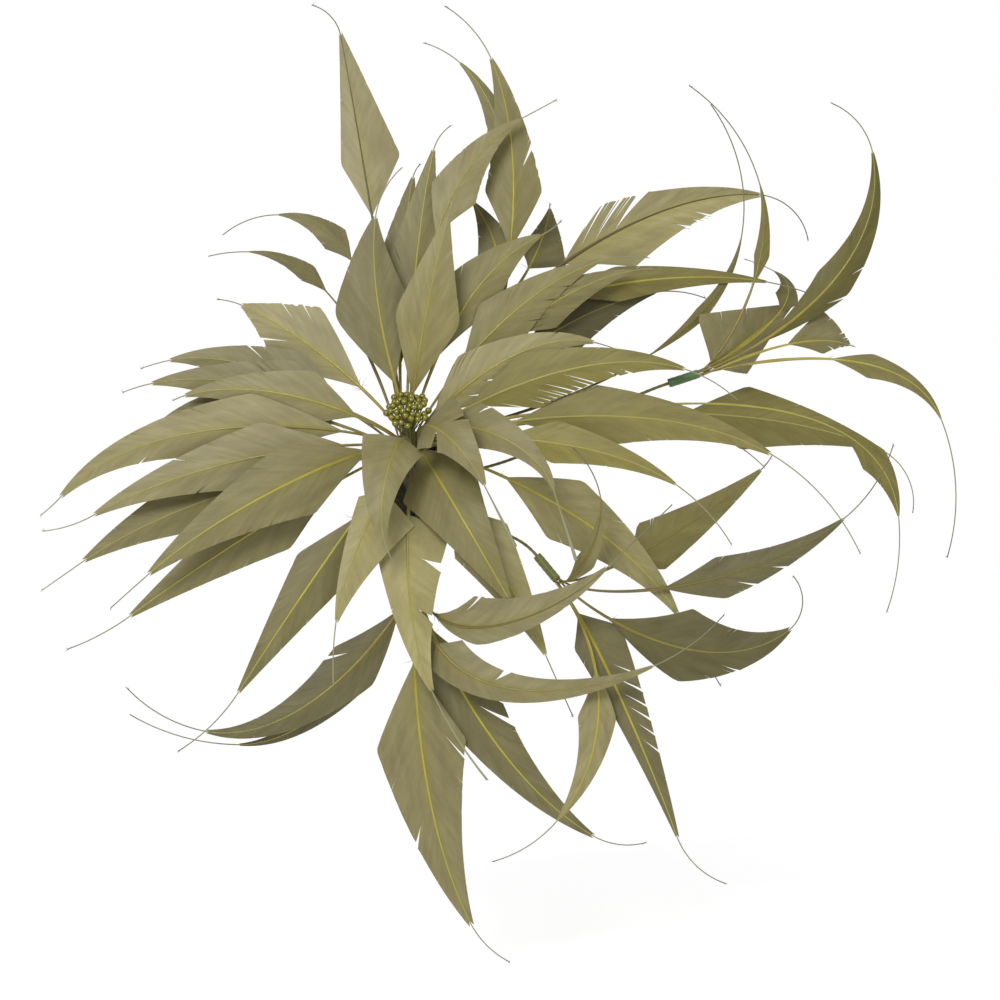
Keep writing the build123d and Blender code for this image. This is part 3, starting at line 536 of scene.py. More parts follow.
class Vane:
    """One side of a feather's vane, laid out along its barbs."""

    def __init__(self, feather, spine, side, seed):
        self.feather = feather
        self.spine = spine
        self.side = side
        self.seed = seed
        self.width = feather.left if side > 0 else feather.right
        self.start = feather.vane_start * spine.length
        self.span = spine.length - self.start
        self.peak = min(0.9, max(0.04, feather.peak + feather.skew * side))
        slope = atan(self.width / (self.peak * self.span))
        self.first_angle = max(radians(base_angle), slope + radians(9))

    def outline(self, length):
        """Half width allowed at a length along the quill."""
        place = (length - self.start) / self.span
        if place > 1:
            return self.width * vane_end_share * max(0.0, 1 - (place - 1) * 25)
        return self.width * vane_share(place, self.peak, self.feather.soft)

    def angle(self, place):
        return self.first_angle + (radians(tip_angle) - self.first_angle) * min(1.0, max(0.0, place)) ** 0.7

    def barb_length(self, start, angle, core):
        """How long a barb is from the quill to the cut edge."""
        low, high = 0.0, 1.2 * self.width / sin(angle) + 1
        if core >= self.outline(start):
            return 0.0
        steps = 20
        for i in range(1, steps + 1):
            reach = high * i / steps
            if core + reach * sin(angle) > self.outline(start + reach * cos(angle)):
                high = reach
                low = high * (i - 1) / i
                break
        for _ in range(12):
            middle = (low + high) / 2
            if core + middle * sin(angle) > self.outline(start + middle * cos(angle)):
                high = middle
            else:
                low = middle
        return low

    def tears(self, count):
        """The tears as (barb line, depth, gap), the fine ones that every feather has among them."""
        chance = random.Random(self.seed * 7 + (3 if self.side > 0 else 5))
        found = [
            (round(place * (count - 1)), depth, gap)
            for side, place, depth, gap in self.feather.tears
            if side == self.side
        ]
        for side, low, high, depth in self.feather.fringe:
            if side != self.side:
                continue
            line = low * (count - 1)
            while line < high * (count - 1):
                found.append((round(line), depth * chance.uniform(0.25, 1.15), chance.uniform(0.3, 1.6)))
                line += chance.uniform(1.5, 7.0)
        for _ in range(1 + round(count / 50)):
            line = round(chance.uniform(0.1, 0.85) * (count - 1))
            found.append((line, chance.uniform(0.06, 0.25), chance.uniform(0.1, 0.3)))
        used = {}
        for line, depth, gap in found:
            if 1 < line < count - 2 and line not in used:
                used[line] = (min(depth, 0.97), gap)
        return used

    def add_to(self, shape):
        """Adds the vane to the shape, as one thin sheet between each pair of tears."""
        count = max(12, round(self.span * 0.97 / barb_step))
        tears = self.tears(count)
        lines = [self.start + self.span * 0.985 * i / (count - 1) for i in range(count)]
        strip = []
        for i, start in enumerate(lines):
            if i in tears:
                strip.append(self.barb_line(i, start, tears, -1))
                shape.add_sheet(strip, vane_thickness)
                strip = [self.barb_line(i, start, tears, 1)]
            else:
                strip.append(self.barb_line(i, start, tears, 0))
        shape.add_sheet(strip, vane_thickness)

    def push(self, i, tears, ahead):
        """(shift, depth) pairs: how far each tear moves this barb line's end."""
        moves = []
        for line, (depth, gap) in tears.items():
            distance = i - line
            if abs(distance) > 4 * tear_reach:
                continue
            way = ahead if distance == 0 else (1 if distance > 0 else -1)
            moves.append((0.5 * gap * way * exp(-abs(distance) / tear_reach), depth))
        return moves

    def barb_line(self, i, start, tears, ahead):
        """One barb as a row of (point, normal, texture place, shade), from the quill to the edge."""
        place = (start - self.start) / self.span
        core = 0.6 * quill_radius(start / self.spine.length)
        angle = self.angle(place)
        length = self.barb_length(start, angle, core)
        uneven = abs(rough(i * 0.9, self.seed, self.side)) + 2 * max(0, rough(i * 0.23, self.seed, 7))
        length = max(length * (1 - self.feather.ragged * uneven), 0.15)
        moves = self.push(i, tears, ahead)
        lift = 0.12 * ahead + 0.3 * rough(i * 0.05, self.seed, 3 * self.side)
        row = []
        for k in range(barb_rows + 1):
            share = k / barb_rows
            reach = length * share
            along = start + reach * cos(angle) + 0.02 * reach * share
            out = core + reach * sin(angle)
            for shift, depth in moves:
                opened = (share - (1 - depth)) / depth
                if opened > 0:
                    along += shift * opened**1.2
            fall = droop * out + 0.05 * out * out / self.width
            wave = 0.30 * rough(along * 0.035, self.seed + 11, self.side) * out / 4
            height = -fall + wave + lift * share * share
            point, _, side, face = self.spine.at(along)
            spot = (start - self.start, reach * self.side)
            row.append((point + side * (out * self.side) + face * height, face, spot, share))
        if self.side < 0:
            return row[::-1]
        return row


def add_quill(shape, feather, spine):
    """The quill from its root to its bare, curled tip."""
    points = [spine.points[0] - spine.axis * root_length, spine.points[0] - spine.axis * (root_length / 2)]
    places = [-1.0, -0.5]
    for i in range(0, spine.steps + 1, 2):
        points.append(spine.points[i])
        places.append(spine.reach[i] / spine.length)
    steps = max(8, round(feather.whisker / 2))
    direction = spine.leaving
    point = spine.points[-1]
    for i in range(steps):
        direction = turned(direction, FRONT, feather.curl / steps)
        point = point + direction * (feather.whisker / steps)
        points.append(point)
        places.append(1 + (i + 1) / steps)
    travelled = lengths_along(points)
    total = travelled[-1]

    def place_at(share):
        wanted = share * total
        for i in range(1, len(travelled)):
            if travelled[i] >= wanted - 1e-6:
                part = (wanted - travelled[i - 1]) / (travelled[i] - travelled[i - 1])
                return places[i - 1] + (places[i] - places[i - 1]) * part
        return places[-1]

    def radius(share):
        place = place_at(share)
        if place <= 1:
            return quill_radius(place)
        bare = place - 1
        return quill_end_radius + (feather.tip - quill_end_radius) * bare**1.3

    def shade(share):
        return max(0.0, min(1.0, place_at(share) / 2))

    face = spine.sides[0].cross(spine.alongs[0])
    shape.add_tube(points, radius, slot=1, sides=8, shade=shade, flat=0.85, face=face)
    return point, direction


def add_loose_barbs(shape, origin, direction, side, face, count, length, chance):
    """Fine loose barbs that curl away from a place on the quill."""
    for _ in range(count):
        start = origin + direction * chance.uniform(-0.5, 0.5) * length
        way = 1 if chance.random() < 0.5 else -1
        heading = (direction * chance.uniform(0.3, 1) + side * (way * chance.uniform(0.4, 1.1))
                   + face * chance.uniform(-0.3, 0.3)).normalized()
        bend = chance.uniform(-60, 60)
        size = length * chance.uniform(0.5, 1.2)
        points = [start]
        steps = 6
        for _ in range(steps):
            heading = turned(heading, face, bend / steps)
            points.append(points[-1] + heading * (size / steps))
        shape.add_tube(points, lambda share: 0.13 - 0.09 * share, slot=0, sides=3, shade=lambda share: 1.0)


def add_wisps(shape, feather, spine, chance):
    """Long barbs that hang free and sweep past the vane's edge."""
    steps = 10
    for side, low, high, number, length in feather.wisps:
        vane = Vane(feather, spine, side, 1)
        for i in range(number):
            place = low + (high - low) * (i + chance.uniform(0, 0.7)) / number
            start = vane.start + place * vane.span
            angle = vane.angle(place)
            edge = vane.barb_length(start, angle, 0.3)
            size = edge + length * chance.uniform(0.4, 1.0)
            points = []
            for k in range(steps + 1):
                out = size * k / steps
                past = max(0.0, out - 0.7 * edge)
                along = start + out * cos(angle) + 0.012 * past * past
                across = 0.3 + out * sin(angle) - 0.008 * past * past
                point, _, left, face = spine.at(along)
                points.append(point + left * (across * side) - face * (droop * across + 0.3))
            shape.add_tube(points, lambda share: 0.2 - 0.12 * share, sides=4, shade=lambda share: 1.0)


def make_feathers():
    """One piece for each CAD node of feathers."""
    nodes = list(dict.fromkeys(feather.node for feather in FEATHERS))
    for node in nodes:
        shape = Shape()
        for number, feather in enumerate(FEATHERS):
            if feather.node != node:
                continue
            shape.seed = float(number)
            chance = random.Random(number)
            spine = Spine(feather)
            for side in (1, -1):
                # the vane's tone holds painted light and shade: the feather's brightness, and one half
                # lighter than the other by split
                shape.tone = (feather.tone * (1 + feather.split * side / 2), feather.warmth, 0.0)
                Vane(feather, spine, side, number + 1).add_to(shape)
            base, along, side, face = spine.at(feather.vane_start * spine.length)
            add_loose_barbs(shape, base, along, side, face, feather.down, 5.0, chance)
            add_wisps(shape, feather, spine, chance)
            shape.tone = (feather.brown, feather.plain, 0.0)
            point, direction = add_quill(shape, feather, spine)
            shape.tone = (0.7, 0.0, 0.0)
            add_loose_barbs(shape, point - direction * 0.8, direction, side, face, 3, 1.5, chance)
        shape.make(node, [materials["vane"], materials["quill"]], [node])


# ---------------------------------------------------------------- stamens


def stamen_place(i, radius):
    """A place in an even spiral pattern of the given radius, across the hub's axis."""
    across, up = ring_directions(hub_axis)
    angle = radians(137.508 * i)
    distance = radius * sqrt((i + 0.5) / stamen_count)
    return (across * cos(angle) + up * sin(angle)) * distance


def make_stamens():
    """Pearly beads on short stiff threads."""
    beads = Shape()
    stalks = Shape()
    chance = random.Random(4)
    for i in range(stamen_count):
        height = stamen_rise + stamen_dome * (1 - (i + 0.5) / stamen_count) + stamen_stagger * (i % 2)
        head = hub_mouth + hub_axis * height + stamen_place(i, stamen_spread)
        inner = stamen_place(i, stamen_bunch_radius - stamen_wire_radius)
        foot = hub_mouth - hub_axis * stamen_root + inner
        bend = hub_mouth + hub_axis * (0.45 * stamen_rise) + inner
        outward = (head - bend).normalized()
        beads.seed = float(i)
        add_bead(beads, head, outward, bead_radius * chance.uniform(0.95, 1.03), chance)
        stalks.seed = float(i)
        bow = stamen_place(i, 1.0) * 0.6
        points = [foot, foot.lerp(bend, 0.5)]
        corners = (bend, bend + hub_axis * 4, head - outward * 5 + bow, head)
        points += [on_curve(corners, t / 8) for t in range(9)]
        stalks.add_tube(points, lambda share: stamen_wire_radius * (1 + 0.25 * (share > 0.97)), sides=6)
    beads.make("stamen_beads", [materials["bead"]], ["stamen_beads"])
    stalks.make("stamen_stalks", [materials["stalk"]], ["stamen_stalks"])


def add_bead(shape, centre, outward, size, chance):
    """One bead: a slightly egg-shaped drop of pearly paint, with a collar where its thread goes in."""
    side = outward.cross(FRONT).normalized()
    up = side.cross(outward)
    profile = [(-1.06, 0.16), (-1.0, 0.30)]
    stations = 14
    for k in range(1, stations):
        angle = pi * k / stations
        if -cos(angle) > -0.93:
            profile.append((-cos(angle) * (1.0 + 0.06 * sin(angle)), sin(angle)))
    rows = []
    sides = 20
    lean = chance.uniform(0, 6)
    for height, width in profile:
        row = []
        for k in range(sides):
            angle = 2 * pi * k / sides
            uneven = 1 + 0.02 * sin(angle + lean)
            offset = (side * cos(angle) + up * sin(angle)) * (width * size * uneven)
            offset += outward * (height * size)
            row.append(shape.add_point(centre + offset, (angle, height), 0.5 + 0.5 * height))
        rows.append(row)
    top = shape.add_point(centre + outward * (size * 1.0), (0, 1), 1.0)
    for first, second in zip(rows, rows[1:]):
        shape.join_rows(first, second, around=True)
    for k in range(sides):
        shape.add_face((rows[-1][k], rows[-1][(k + 1) % sides], top))
    shape.add_face(tuple(reversed(rows[0])))


# ---------------------------------------------------------------- bindings, stems and threads


def add_wound_tube(shape, start, axis, length, outer, inner, pitch, ridge, rounding):
    """A tube wound from tape: a fine helical step on its outside, rounded ends, open inside."""
    side, up = directions_across(axis)
    sides = 40
    steps = max(24, round(length / pitch * 6))
    rows = []
    for i in range(steps + 1):
        share = i / steps
        row = []
        for k in range(sides):
            angle = 2 * pi * k / sides
            turn = share * length / pitch + k / sides
            phase = turn % 1.0
            edge = min(share, 1 - share) * length
            closing = rounding * max(0.0, 1 - edge / 1.2) ** 2
            bumpy = 0.05 * rough(turn * 0.7, angle * 0.5, start.x)
            size = outer - closing + ridge * phase + bumpy
            offset = (side * cos(angle) + up * sin(angle)) * size
            row.append(shape.add_point(start + axis * (share * length) + offset, (turn, angle), phase))
        rows.append(row)
    for first, second in zip(rows, rows[1:]):
        shape.join_rows(second, first, around=True)
    inside = []
    for share in (1.0, 0.0):
        row = []
        for k in range(sides):
            angle = 2 * pi * k / sides
            offset = (side * cos(angle) + up * sin(angle)) * inner
            row.append(shape.add_point(start + axis * (share * length) + offset, (share, angle), 0.2))
        inside.append(row)
    shape.join_rows(inside[0], rows[-1], around=True)
    shape.join_rows(inside[1], inside[0], around=True)
    shape.join_rows(rows[0], inside[1], around=True)


def add_winding(shape, start, axis, length, radius, thread, turns, seed):
    """Thread wound round and round in slightly uneven turns, as one long coil."""
    side, up = directions_across(axis)
    points = []
    per_turn = 18
    for i in range(turns * per_turn + 1):
        angle = 2 * pi * i / per_turn
        share = i / (turns * per_turn)
        along = share * length + 0.18 * rough(i * 0.05, seed, 1)
        size = radius + 0.15 * rough(i * 0.09, seed, 5)
        points.append(start + axis * along + (side * cos(angle) + up * sin(angle)) * size)
    shape.add_tube(points, lambda share: thread, sides=6, shade=lambda share: (share * turns) % 1.0)


def make_bindings():
    """The hub's thread winding and the taped bindings of the sprays."""
    rings = 1 + max(f.ring for f in FEATHERS if f.bundle == "flower")
    inner = ring_radius("flower", rings - 1) + root_radius + ring_gap
    outer = inner + 2 * tape_thickness
    hub = Shape()
    length = (-hub_mouth.y - base_face) / -hub_axis.y
    foot = hub_mouth - hub_axis * length
    add_hub_core(hub, foot, inner, outer)
    wound_from = hub_mouth - hub_axis * (length * 0.72)
    add_winding(hub, wound_from, hub_axis, length * 0.70, outer - 0.12, 0.32, 26, 3.0)
    hub.make("hub_binding", [materials["thread"]], ["hub_binding"])
    tape = Shape()
    inner = ring_radius("back", 0) + root_radius + ring_gap
    for number, (bundle, (mouth, axis)) in enumerate(spray_mouths.items()):
        tape.seed = float(number)
        tape.tone = (1.0 if bundle == "right" else 0.15, 0.0, 0.0)
        start = mouth - axis * binding_length
        add_wound_tube(tape, start, axis, binding_length, inner + 0.2, inner, 2.6, 0.14, 0.15)
    tape.make("spray_bindings", [materials["tape"]], ["spray_bindings"])
    for bundle, (mouth, axis) in spray_mouths.items():
        bearing = radians(stem_bearings[bundle])
        outward = Vector((cos(bearing), 0, sin(bearing)))
        rest = base_face + stem_radius + stem_clearance
        sewn_start = outward * (0.45 * base_radius) + Vector((0, -rest, 0))
        sewn_end = sewn_start + outward * stem_sewn_length
        entry = mouth - axis * binding_length
        gap = (entry - sewn_end).length
        corners = (sewn_end, sewn_end + outward * gap * 0.4, entry - axis * gap * 0.35, entry)
        points = [sewn_start.lerp(sewn_end, i / 8) for i in range(8)]
        points += [on_curve(corners, i / 60) for i in range(61)]
        points += [entry.lerp(mouth - axis, i / 8) for i in range(1, 9)]
        stem = Shape(seed=stem_bearings[bundle])
        add_taped_wire(stem, points)
        name = f"{bundle}_spray_stem"
        stem.make(name, [materials["stem"]], [name])


def add_hub_core(shape, foot, inner, outer):
    """The hub's core of bound quill ends: a sleeve cut square to the base at its foot."""
    side, up = directions_across(hub_axis)
    sides = 48
    steps = 24
    walls = []
    for radius in (outer - 0.3, inner):
        rows = []
        for i in range(steps + 1):
            row = []
            for k in range(sides):
                angle = 2 * pi * k / sides
                across = (side * cos(angle) + up * sin(angle)) * radius
                low = foot + across
                low = low + hub_axis * ((-base_face - low.y) / hub_axis.y)
                high = hub_mouth + across
                point = low.lerp(high, i / steps)
                row.append(shape.add_point(point, (i, angle), 0.3))
            rows.append(row)
        walls.append(rows)
    for first, second in zip(walls[0], walls[0][1:]):
        shape.join_rows(first, second, around=True)
    for first, second in zip(walls[1], walls[1][1:]):
        shape.join_rows(second, first, around=True)
    shape.join_rows(walls[0][-1], walls[1][-1], around=True)
    shape.join_rows(walls[1][0], walls[0][0], around=True)


def add_taped_wire(shape, points):
    """A wire wrapped in tape: each turn of the tape overlaps the last with a small step."""
    travelled = lengths_along(points)
    total = travelled[-1]
    fine = []
    count = max(60, round(total / 0.5))
    place = 0
    for i in range(count + 1):
        wanted = total * i / count
        while place < len(points) - 2 and travelled[place + 1] < wanted:
            place += 1
        share = (wanted - travelled[place]) / max(travelled[place + 1] - travelled[place], 1e-9)
        fine.append(points[place].lerp(points[place + 1], min(1.0, share)))
    pitch = 3.0

    def radius(share):
        phase = (share * total / pitch) % 1.0
        ends = min(share, 1 - share) * total
        return (stem_radius - 0.1 + 0.12 * phase) * min(1.0, 0.35 + ends)

    def shade(share):
        return (share * total / pitch) % 1.0

    shape.add_tube(fine, radius, sides=12, shade=shade)


def make_threads():
    """The pale fibre ends below the hub, frayed and uneven."""
    threads = Shape()
    chance = random.Random(9)
    for i in range(6):
        x = 1.5 + i * 0.75
        top = Vector((x, -base_face - 1.0, -8 - 0.4 * (i % 3)))
        low = top + Vector((0.3 * (i - 2), -0.6, -9.0 + 0.7 * (i % 2)))
        for _ in range(3):
            sway = Vector((chance.uniform(-0.4, 0.4), chance.uniform(-0.5, 0.1), 0))
            spread = (chance.uniform(-0.7, 0.7), chance.uniform(-0.5, 0.2), chance.uniform(-0.5, 1.5))
            end = low + Vector(spread)
            corners = (top, top + sway * 2, end + sway * 3 + Vector((0, 0, 3)), end)
            points = [on_curve(corners, t / 10) for t in range(11)]
            threads.add_tube(points, lambda share: 0.16 - 0.08 * share, sides=5)
    threads.make("thread_ends", [materials["silver"]], ["thread_ends"])


# ---------------------------------------------------------------- materials


def linear(red, green, blue):
    """A colour as the eye sees it, 0 to 255, turned into the renderer's linear values."""
    values = []
    for value in (red, green, blue):
        value /= 255
        values.append(value / 12.92 if value <= 0.04045 else ((value + 0.055) / 1.055) ** 2.4)
    return (*values, 1.0)


class Nodes:
    """A new material with its shader, and short ways to add and link nodes."""

    def __init__(self, name, roughness, specular=0.4, sheen=0.0, sheen_roughness=0.4, coat=0.0):
        self.material = bpy.data.materials.new(name)
        self.material.use_nodes = True
        self.tree = self.material.node_tree
        self.shader = self.tree.nodes["Principled BSDF"]
        self.shader.inputs["Roughness"].default_value = roughness
        self.shader.inputs["Specular IOR Level"].default_value = specular
        self.shader.inputs["Sheen Weight"].default_value = sheen
        self.shader.inputs["Sheen Roughness"].default_value = sheen_roughness
        self.shader.inputs["Coat Weight"].default_value = coat

    def add(self, kind, **values):
        node = self.tree.nodes.new(kind)
        for name, value in values.items():
            setattr(node, name, value)
        return node

    def link(self, output, target):
        self.tree.links.new(output, target)

    def attribute(self, name):
        return self.add("ShaderNodeAttribute", attribute_type="GEOMETRY", attribute_name=name)

    def scaled(self, vector, scale):
        node = self.add("ShaderNodeVectorMath", operation="MULTIPLY")
        self.link(vector, node.inputs[0])
        node.inputs[1].default_value = scale
        return node.outputs[0]

    def split(self, vector):
        node = self.add("ShaderNodeSeparateXYZ")
        self.link(vector, node.inputs[0])
        return node.outputs

    def brighter(self, colour, factor):
        node = self.add("ShaderNodeVectorMath", operation="SCALE")
        self.link(colour, node.inputs[0])
        self.link(factor, node.inputs["Scale"])
        return node.outputs[0]

    def noise(self, vector, scale, detail=2.0, rough_share=0.5):
        node = self.add("ShaderNodeTexNoise")
        self.link(vector, node.inputs["Vector"])
        node.inputs["Scale"].default_value = scale
        node.inputs["Detail"].default_value = detail
        node.inputs["Roughness"].default_value = rough_share
        return node.outputs["Fac"]

    def mask(self, factor, *stops):
        """A grey ramp from (position, share) stops."""
        return self.ramp(factor, *((position, (share, share, share, 1)) for position, share in stops))

    def dyes(self, factor, *stops):
        """A colour ramp from (position, red, green, blue) stops, as the eye sees them, 0 to 255."""
        return self.ramp(factor, *((stop[0], linear(*stop[1:])) for stop in stops))

    def ramp(self, factor, *stops):
        node = self.add("ShaderNodeValToRGB")
        self.link(factor, node.inputs["Fac"])
        ramp = node.color_ramp
        while len(ramp.elements) < len(stops):
            ramp.elements.new(0.5)
        for element, (position, colour) in zip(ramp.elements, stops):
            element.position = position
            element.color = colour
        return node.outputs["Color"]

    def mix(self, factor, first, second, blend="MIX"):
        node = self.add("ShaderNodeMix", data_type="RGBA", blend_type=blend)
        for value, socket in ((factor, "Factor"), (first, "A"), (second, "B")):
            target = node.inputs[socket]
            if isinstance(value, bpy.types.NodeSocket):
                self.link(value, target)
            else:
                target.default_value = value
        return node.outputs["Result"]

    def math(self, operation, *values):
        node = self.add("ShaderNodeMath", operation=operation)
        for value, target in zip(values, node.inputs):
            if isinstance(value, bpy.types.NodeSocket):
                self.link(value, target)
            else:
                target.default_value = value
        return node.outputs[0]

    def bump(self, height, strength, distance, before=None):
        node = self.add("ShaderNodeBump")
        self.link(height, node.inputs["Height"])
        node.inputs["Strength"].default_value = strength
        node.inputs["Distance"].default_value = distance
        if before is not None:
            self.link(before, node.inputs["Normal"])
        return node.outputs["Normal"]

    def finish(self, colour, normal=None, roughness=None):
        self.link(colour, self.shader.inputs["Base Color"])
        if normal is not None:
            self.link(normal, self.shader.inputs["Normal"])
        if roughness is not None:
            self.link(roughness, self.shader.inputs["Roughness"])
        return self.material


def vane_material():
    """Dyed barbs lying side by side: satin, yellower by the quill, with faint streaks along each barb, scaled
    by the tone, which carries painted light and shade.
    """
    n = Nodes("feather_vane", 0.5, specular=0.3, sheen=0.12, sheen_roughness=0.4)
    spot = n.attribute("spot").outputs["Vector"]
    tone = n.split(n.attribute("tone").outputs["Vector"])
    reach = n.attribute("shade").outputs["Fac"]
    streaks = n.noise(n.scaled(spot, (1.7, 0.05, 7.3)), 1.0, 3.0, 0.6)
    clumps = n.noise(n.scaled(spot, (0.25, 0.04, 3.1)), 1.0, 2.0)
    mottle = n.noise(n.scaled(spot, (0.07, 0.09, 5.7)), 1.0, 4.0, 0.6)
    grey = n.dyes(mottle, (0.3, 117, 110, 80), (0.5, 127, 120, 89), (0.7, 135, 129, 98))
    yellow = n.dyes(mottle, (0.3, 112, 104, 42), (0.5, 122, 114, 51), (0.7, 130, 123, 59))
    base = n.mix(tone[1], grey, yellow)
    glow = n.mix(n.mask(reach, (0.0, 0.5), (0.35, 0)), base, linear(128, 121, 56))
    clumped = n.mix(n.mask(clumps, (0.4, 0.22), (0.6, 0)), glow, linear(96, 88, 58))
    lined = n.mix(n.mask(streaks, (0.35, 0.14), (0.55, 0)), clumped, linear(84, 77, 45))
    normal = n.bump(streaks, 0.22, 0.0002)
    # tone[0] scales each feather's colour: partly its dye's brightness, partly painted light and shade
    return n.finish(n.brighter(lined, tone[0]), normal)


def quill_material():
    """A stripped quill: brown-streaked green stalk, yellow-green or dark line on the vane, grey tip."""
    n = Nodes("feather_quill", 0.4, specular=0.5, coat=0.1)
    shade = n.attribute("shade").outputs["Fac"]
    spot = n.attribute("spot").outputs["Vector"]
    tone = n.split(n.attribute("tone").outputs["Vector"])
    body = n.dyes(shade, (0.0, 116, 106, 34), (0.14, 150, 140, 46), (0.28, 162, 153, 52),
                  (0.46, 146, 139, 62), (0.56, 126, 122, 88), (0.9, 118, 115, 92),
                  (1.0, 78, 75, 60))
    dark = n.dyes(shade, (0.0, 92, 80, 28), (0.15, 86, 74, 30), (0.4, 66, 56, 28),
                  (0.52, 102, 96, 64), (1.0, 82, 78, 62))
    dull = n.dyes(shade, (0.0, 110, 100, 40), (0.2, 132, 124, 74), (0.5, 134, 128, 90),
                  (0.8, 140, 137, 106), (1.0, 150, 147, 120))
    chosen = n.mix(tone[0], n.mix(tone[1], body, dull), dark)
    streaks = n.noise(n.scaled(spot, (0.12, 2.4, 3.3)), 1.0, 3.0, 0.6)
    bare = n.mask(shade, (0.0, 0.75), (0.25, 0.25), (0.5, 0))
    patches = n.mask(streaks, (0.45, 0), (0.62, 1))
    brown = n.mix(n.mix(1.0, bare, patches, "MULTIPLY"), chosen, linear(92, 68, 28))
    return n.finish(brown, n.bump(streaks, 0.2, 0.0002))


def bead_material():
    """Pearly olive paint: a metallic sheen under a clear coat, a little uneven."""
    n = Nodes("stamen_bead", 0.3, specular=0.6, coat=0.5)
    n.shader.inputs["Metallic"].default_value = 0.35
    spot = n.attribute("spot").outputs["Vector"]
    uneven = n.noise(n.scaled(spot, (0.8, 1.4, 2.1)), 1.5, 3.0)
    colour = n.dyes(uneven, (0.3, 100, 96, 14), (0.7, 134, 128, 30))
    return n.finish(colour, n.bump(uneven, 0.1, 0.0002))


def thread_material(name, light, dark, roughness, scale):
    """Twisted thread: slanting plies, with painted light on top and painted shade between."""
    n = Nodes(name, roughness, specular=0.3, sheen=0.2)
    spot = n.attribute("spot").outputs["Vector"]
    plies = n.noise(n.scaled(spot, (2.2 * scale, 3.0, 1.7)), 1.0, 2.0)
    # painted light and shade: the ramp makes the ply tops light and the gaps between them dark
    colour = n.ramp(plies, (0.3, dark), (0.65, light))
    return n.finish(colour, n.bump(plies, 0.5, 0.0003))


def tape_material():
    """Waxed tape, stretched and wrapped: green or olive, with painted shade in the step under each turn's
    edge.
    """
    n = Nodes("stem_tape", 0.5, specular=0.4, sheen=0.1)
    spot = n.attribute("spot").outputs["Vector"]
    shade = n.attribute("shade").outputs["Fac"]
    tone = n.split(n.attribute("tone").outputs["Vector"])
    crepe = n.noise(n.scaled(spot, (3.0, 1.2, 1.9)), 1.6, 4.0, 0.65)
    green = n.dyes(crepe, (0.3, 52, 76, 44), (0.55, 76, 106, 62), (0.75, 106, 130, 84))
    olive = n.dyes(crepe, (0.3, 78, 78, 34), (0.55, 106, 106, 46), (0.75, 130, 128, 66))
    colour = n.mix(tone[0], olive, green)
    # painted shade: darker in the step just under each turn's edge
    step_shaded = n.mix(n.mask(shade, (0.0, 0.6), (0.12, 0)), colour, linear(44, 50, 22))
    return n.finish(step_shaded, n.bump(crepe, 0.45, 0.0003))


def stem_material():
    """A bundle of bare quills twisted together: long olive and brown streaks."""
    n = Nodes("stem_quills", 0.45, specular=0.4)
    spot = n.attribute("spot").outputs["Vector"]
    streaks = n.noise(n.scaled(spot, (0.1, 2.6, 4.1)), 1.0, 3.0, 0.6)
    colour = n.dyes(streaks, (0.35, 70, 62, 28), (0.5, 102, 94, 40), (0.65, 122, 115, 50))
    return n.finish(colour, n.bump(streaks, 0.5, 0.0003))


def woven_material(name, light, dark, scale, roughness):
    """Cloth or felt on the base, worked out in the object's own space."""
    n = Nodes(name, roughness, specular=0.25, sheen=0.35)
    place = n.add("ShaderNodeTexCoord").outputs["Object"]
    fibres = n.noise(place, scale, 5.0, 0.7)
    lumps = n.noise(place, scale * 0.15, 2.0)
    colour = n.ramp(n.math("ADD", n.math("MULTIPLY", fibres, 0.7), n.math("MULTIPLY", lumps, 0.3)),
                    (0.35, dark), (0.65, light))
    return n.finish(colour, n.bump(fibres, 0.6, 0.0004))


def comb_material():
    """Dark polished plastic with faint marbling."""
    n = Nodes("comb_plastic", 0.22, specular=0.5, coat=0.2)
    place = n.add("ShaderNodeTexCoord").outputs["Object"]
    marble = n.noise(place, 160.0, 3.0)
    colour = n.dyes(marble, (0.4, 34, 26, 18), (0.7, 66, 48, 30))
    fine = n.noise(place, 900.0, 2.0)
    return n.finish(colour, n.bump(fine, 0.05, 0.0002))


def floor_material():
    """A pale, even floor that fades into the white surround."""
    n = Nodes("plain_floor", 0.7, specular=0.2)
    place = n.add("ShaderNodeTexCoord").outputs["Object"]
    colour = n.mask(n.noise(place, 2.0, 2.0), (0.3, 0.93), (0.7, 0.95))
    n.shader.inputs["Emission Color"].default_value = (1, 1, 1, 1)
    n.shader.inputs["Emission Strength"].default_value = 0.3
    return n.finish(colour)


# ---------------------------------------------------------------- base, comb and stitches


def finish_base():
    """The hidden base under the flower keeps its CAD shapes, in cloth, felt and plastic."""
    finishes = {"felt_pad": "felt", "base_disc": "cover", "hair_comb": "comb", "sewing_stitches": "thread"}
    for name, material in finishes.items():
        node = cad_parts[name]
        node.data.materials.clear()
        node.data.materials.append(materials[material])


# ---------------------------------------------------------------- camera, light and floor


def add_camera():
    """A long lens straight in front, as far back as the photograph's framing needs."""
    distance = 1.3
    shown = 0.45
    data = bpy.data.cameras.new("camera")
    data.sensor_width = 36.0
    data.lens = data.sensor_width * distance / shown
    camera = bpy.data.objects.new("camera", data)
    camera.location = (0.036, -distance, -0.009)
    camera.rotation_euler = (radians(90), 0, 0)
    bpy.context.scene.collection.objects.link(camera)
    bpy.context.scene.camera = camera


def add_light(name, place, target, size, power):
    data = bpy.data.lights.new(name, "AREA")
    data.shape = "SQUARE"
    data.size = size
    data.energy = power
    light = bpy.data.objects.new(name, data)
    light.location = place
    light.rotation_euler = (Vector(target) - Vector(place)).to_track_quat("-Z", "Y").to_euler()
    bpy.context.scene.collection.objects.link(light)


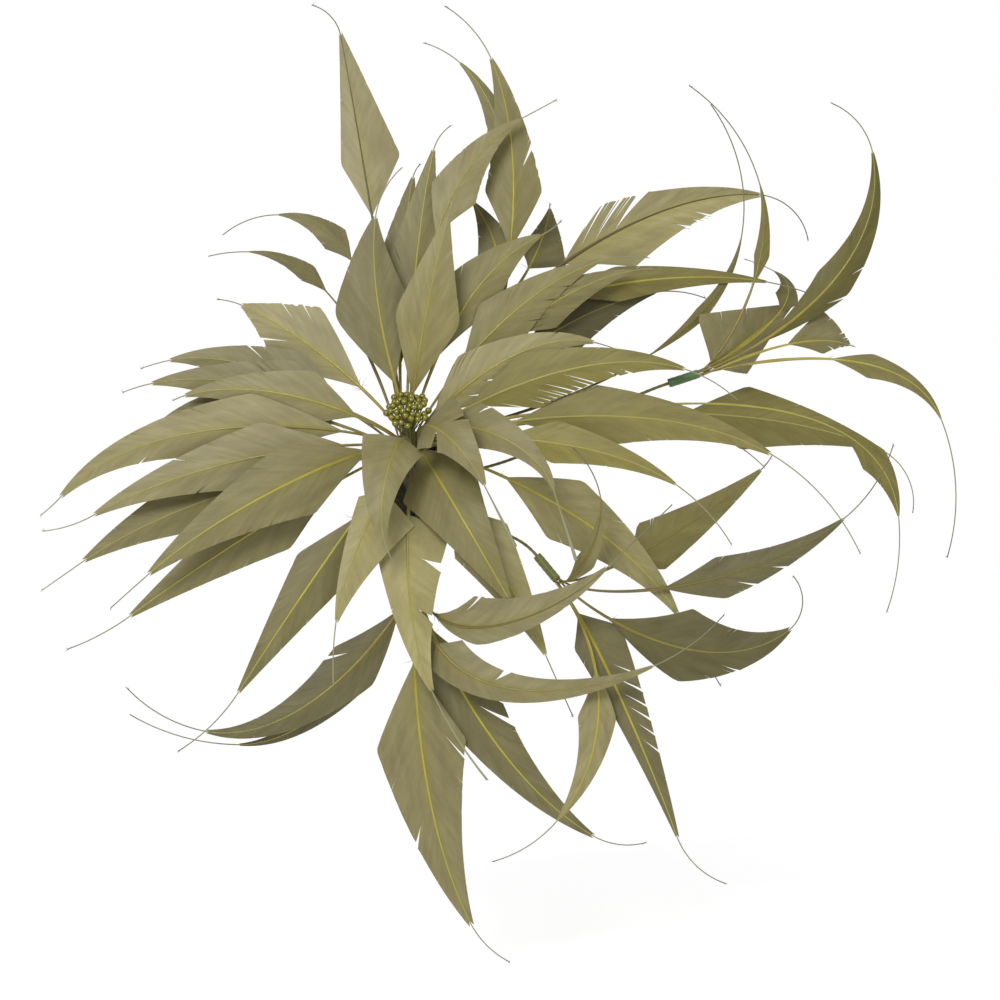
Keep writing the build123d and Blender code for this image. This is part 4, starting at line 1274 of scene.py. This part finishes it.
def add_studio():
    """A plain pale floor under the piece, a white surround and large soft lights."""
    scene = bpy.context.scene
    scene.view_settings.view_transform = "Standard"
    world = bpy.data.worlds.new("surround")
    world.use_nodes = True
    tree = world.node_tree
    paths = tree.nodes.new("ShaderNodeLightPath")
    seen = tree.nodes.new("ShaderNodeMapRange")
    seen.inputs["To Min"].default_value = 0.5
    seen.inputs["To Max"].default_value = 1.0
    tree.links.new(paths.outputs["Is Camera Ray"], seen.inputs["Value"])
    tree.nodes["Background"].inputs["Color"].default_value = (1, 1, 1, 1)
    tree.links.new(seen.outputs["Result"], tree.nodes["Background"].inputs["Strength"])
    scene.world = world
    target = (0.03, -0.02, 0.0)
    add_light("key_light", (-0.35, -1.2, 0.65), target, 0.5, 13.0)
    add_light("side_light", (1.1, -0.8, 0.3), target, 0.6, 3.0)
    add_light("back_light", (0.2, 1.0, 0.9), target, 0.9, 4.0)
    floor_height = cad_box[0][2] - 0.012
    mesh = bpy.data.meshes.new("floor")
    sides = 64
    radius = 0.55
    ring = []
    for k in range(sides):
        angle = 2 * pi * k / sides
        ring.append((0.03 + radius * cos(angle), radius * sin(angle), floor_height))
    mesh.from_pydata(ring, [], [tuple(range(sides))])
    mesh.materials.append(materials["floor"])
    floor = bpy.data.objects.new("floor", mesh)
    scene.collection.objects.link(floor)


materials = {
    "vane": vane_material(),
    "quill": quill_material(),
    "bead": bead_material(),
    "stalk": thread_material("stamen_stalk", linear(128, 122, 60), linear(74, 68, 26), 0.6, 0.5),
    "thread": thread_material("hub_thread", linear(92, 84, 44), linear(34, 28, 14), 0.6, 1.0),
    "tape": tape_material(),
    "stem": stem_material(),
    "silver": thread_material("silver_thread", linear(206, 200, 184), linear(140, 132, 112), 0.45, 1.0),
    "felt": woven_material("base_felt", linear(44, 43, 42), linear(18, 18, 18), 900.0, 0.95),
    "cover": woven_material("base_cover", linear(58, 56, 38), linear(26, 25, 16), 1400.0, 0.75),
    "comb": comb_material(),
    "floor": floor_material(),
}

add_camera()
add_studio()
make_feathers()
make_stamens()
make_bindings()
make_threads()
finish_base()
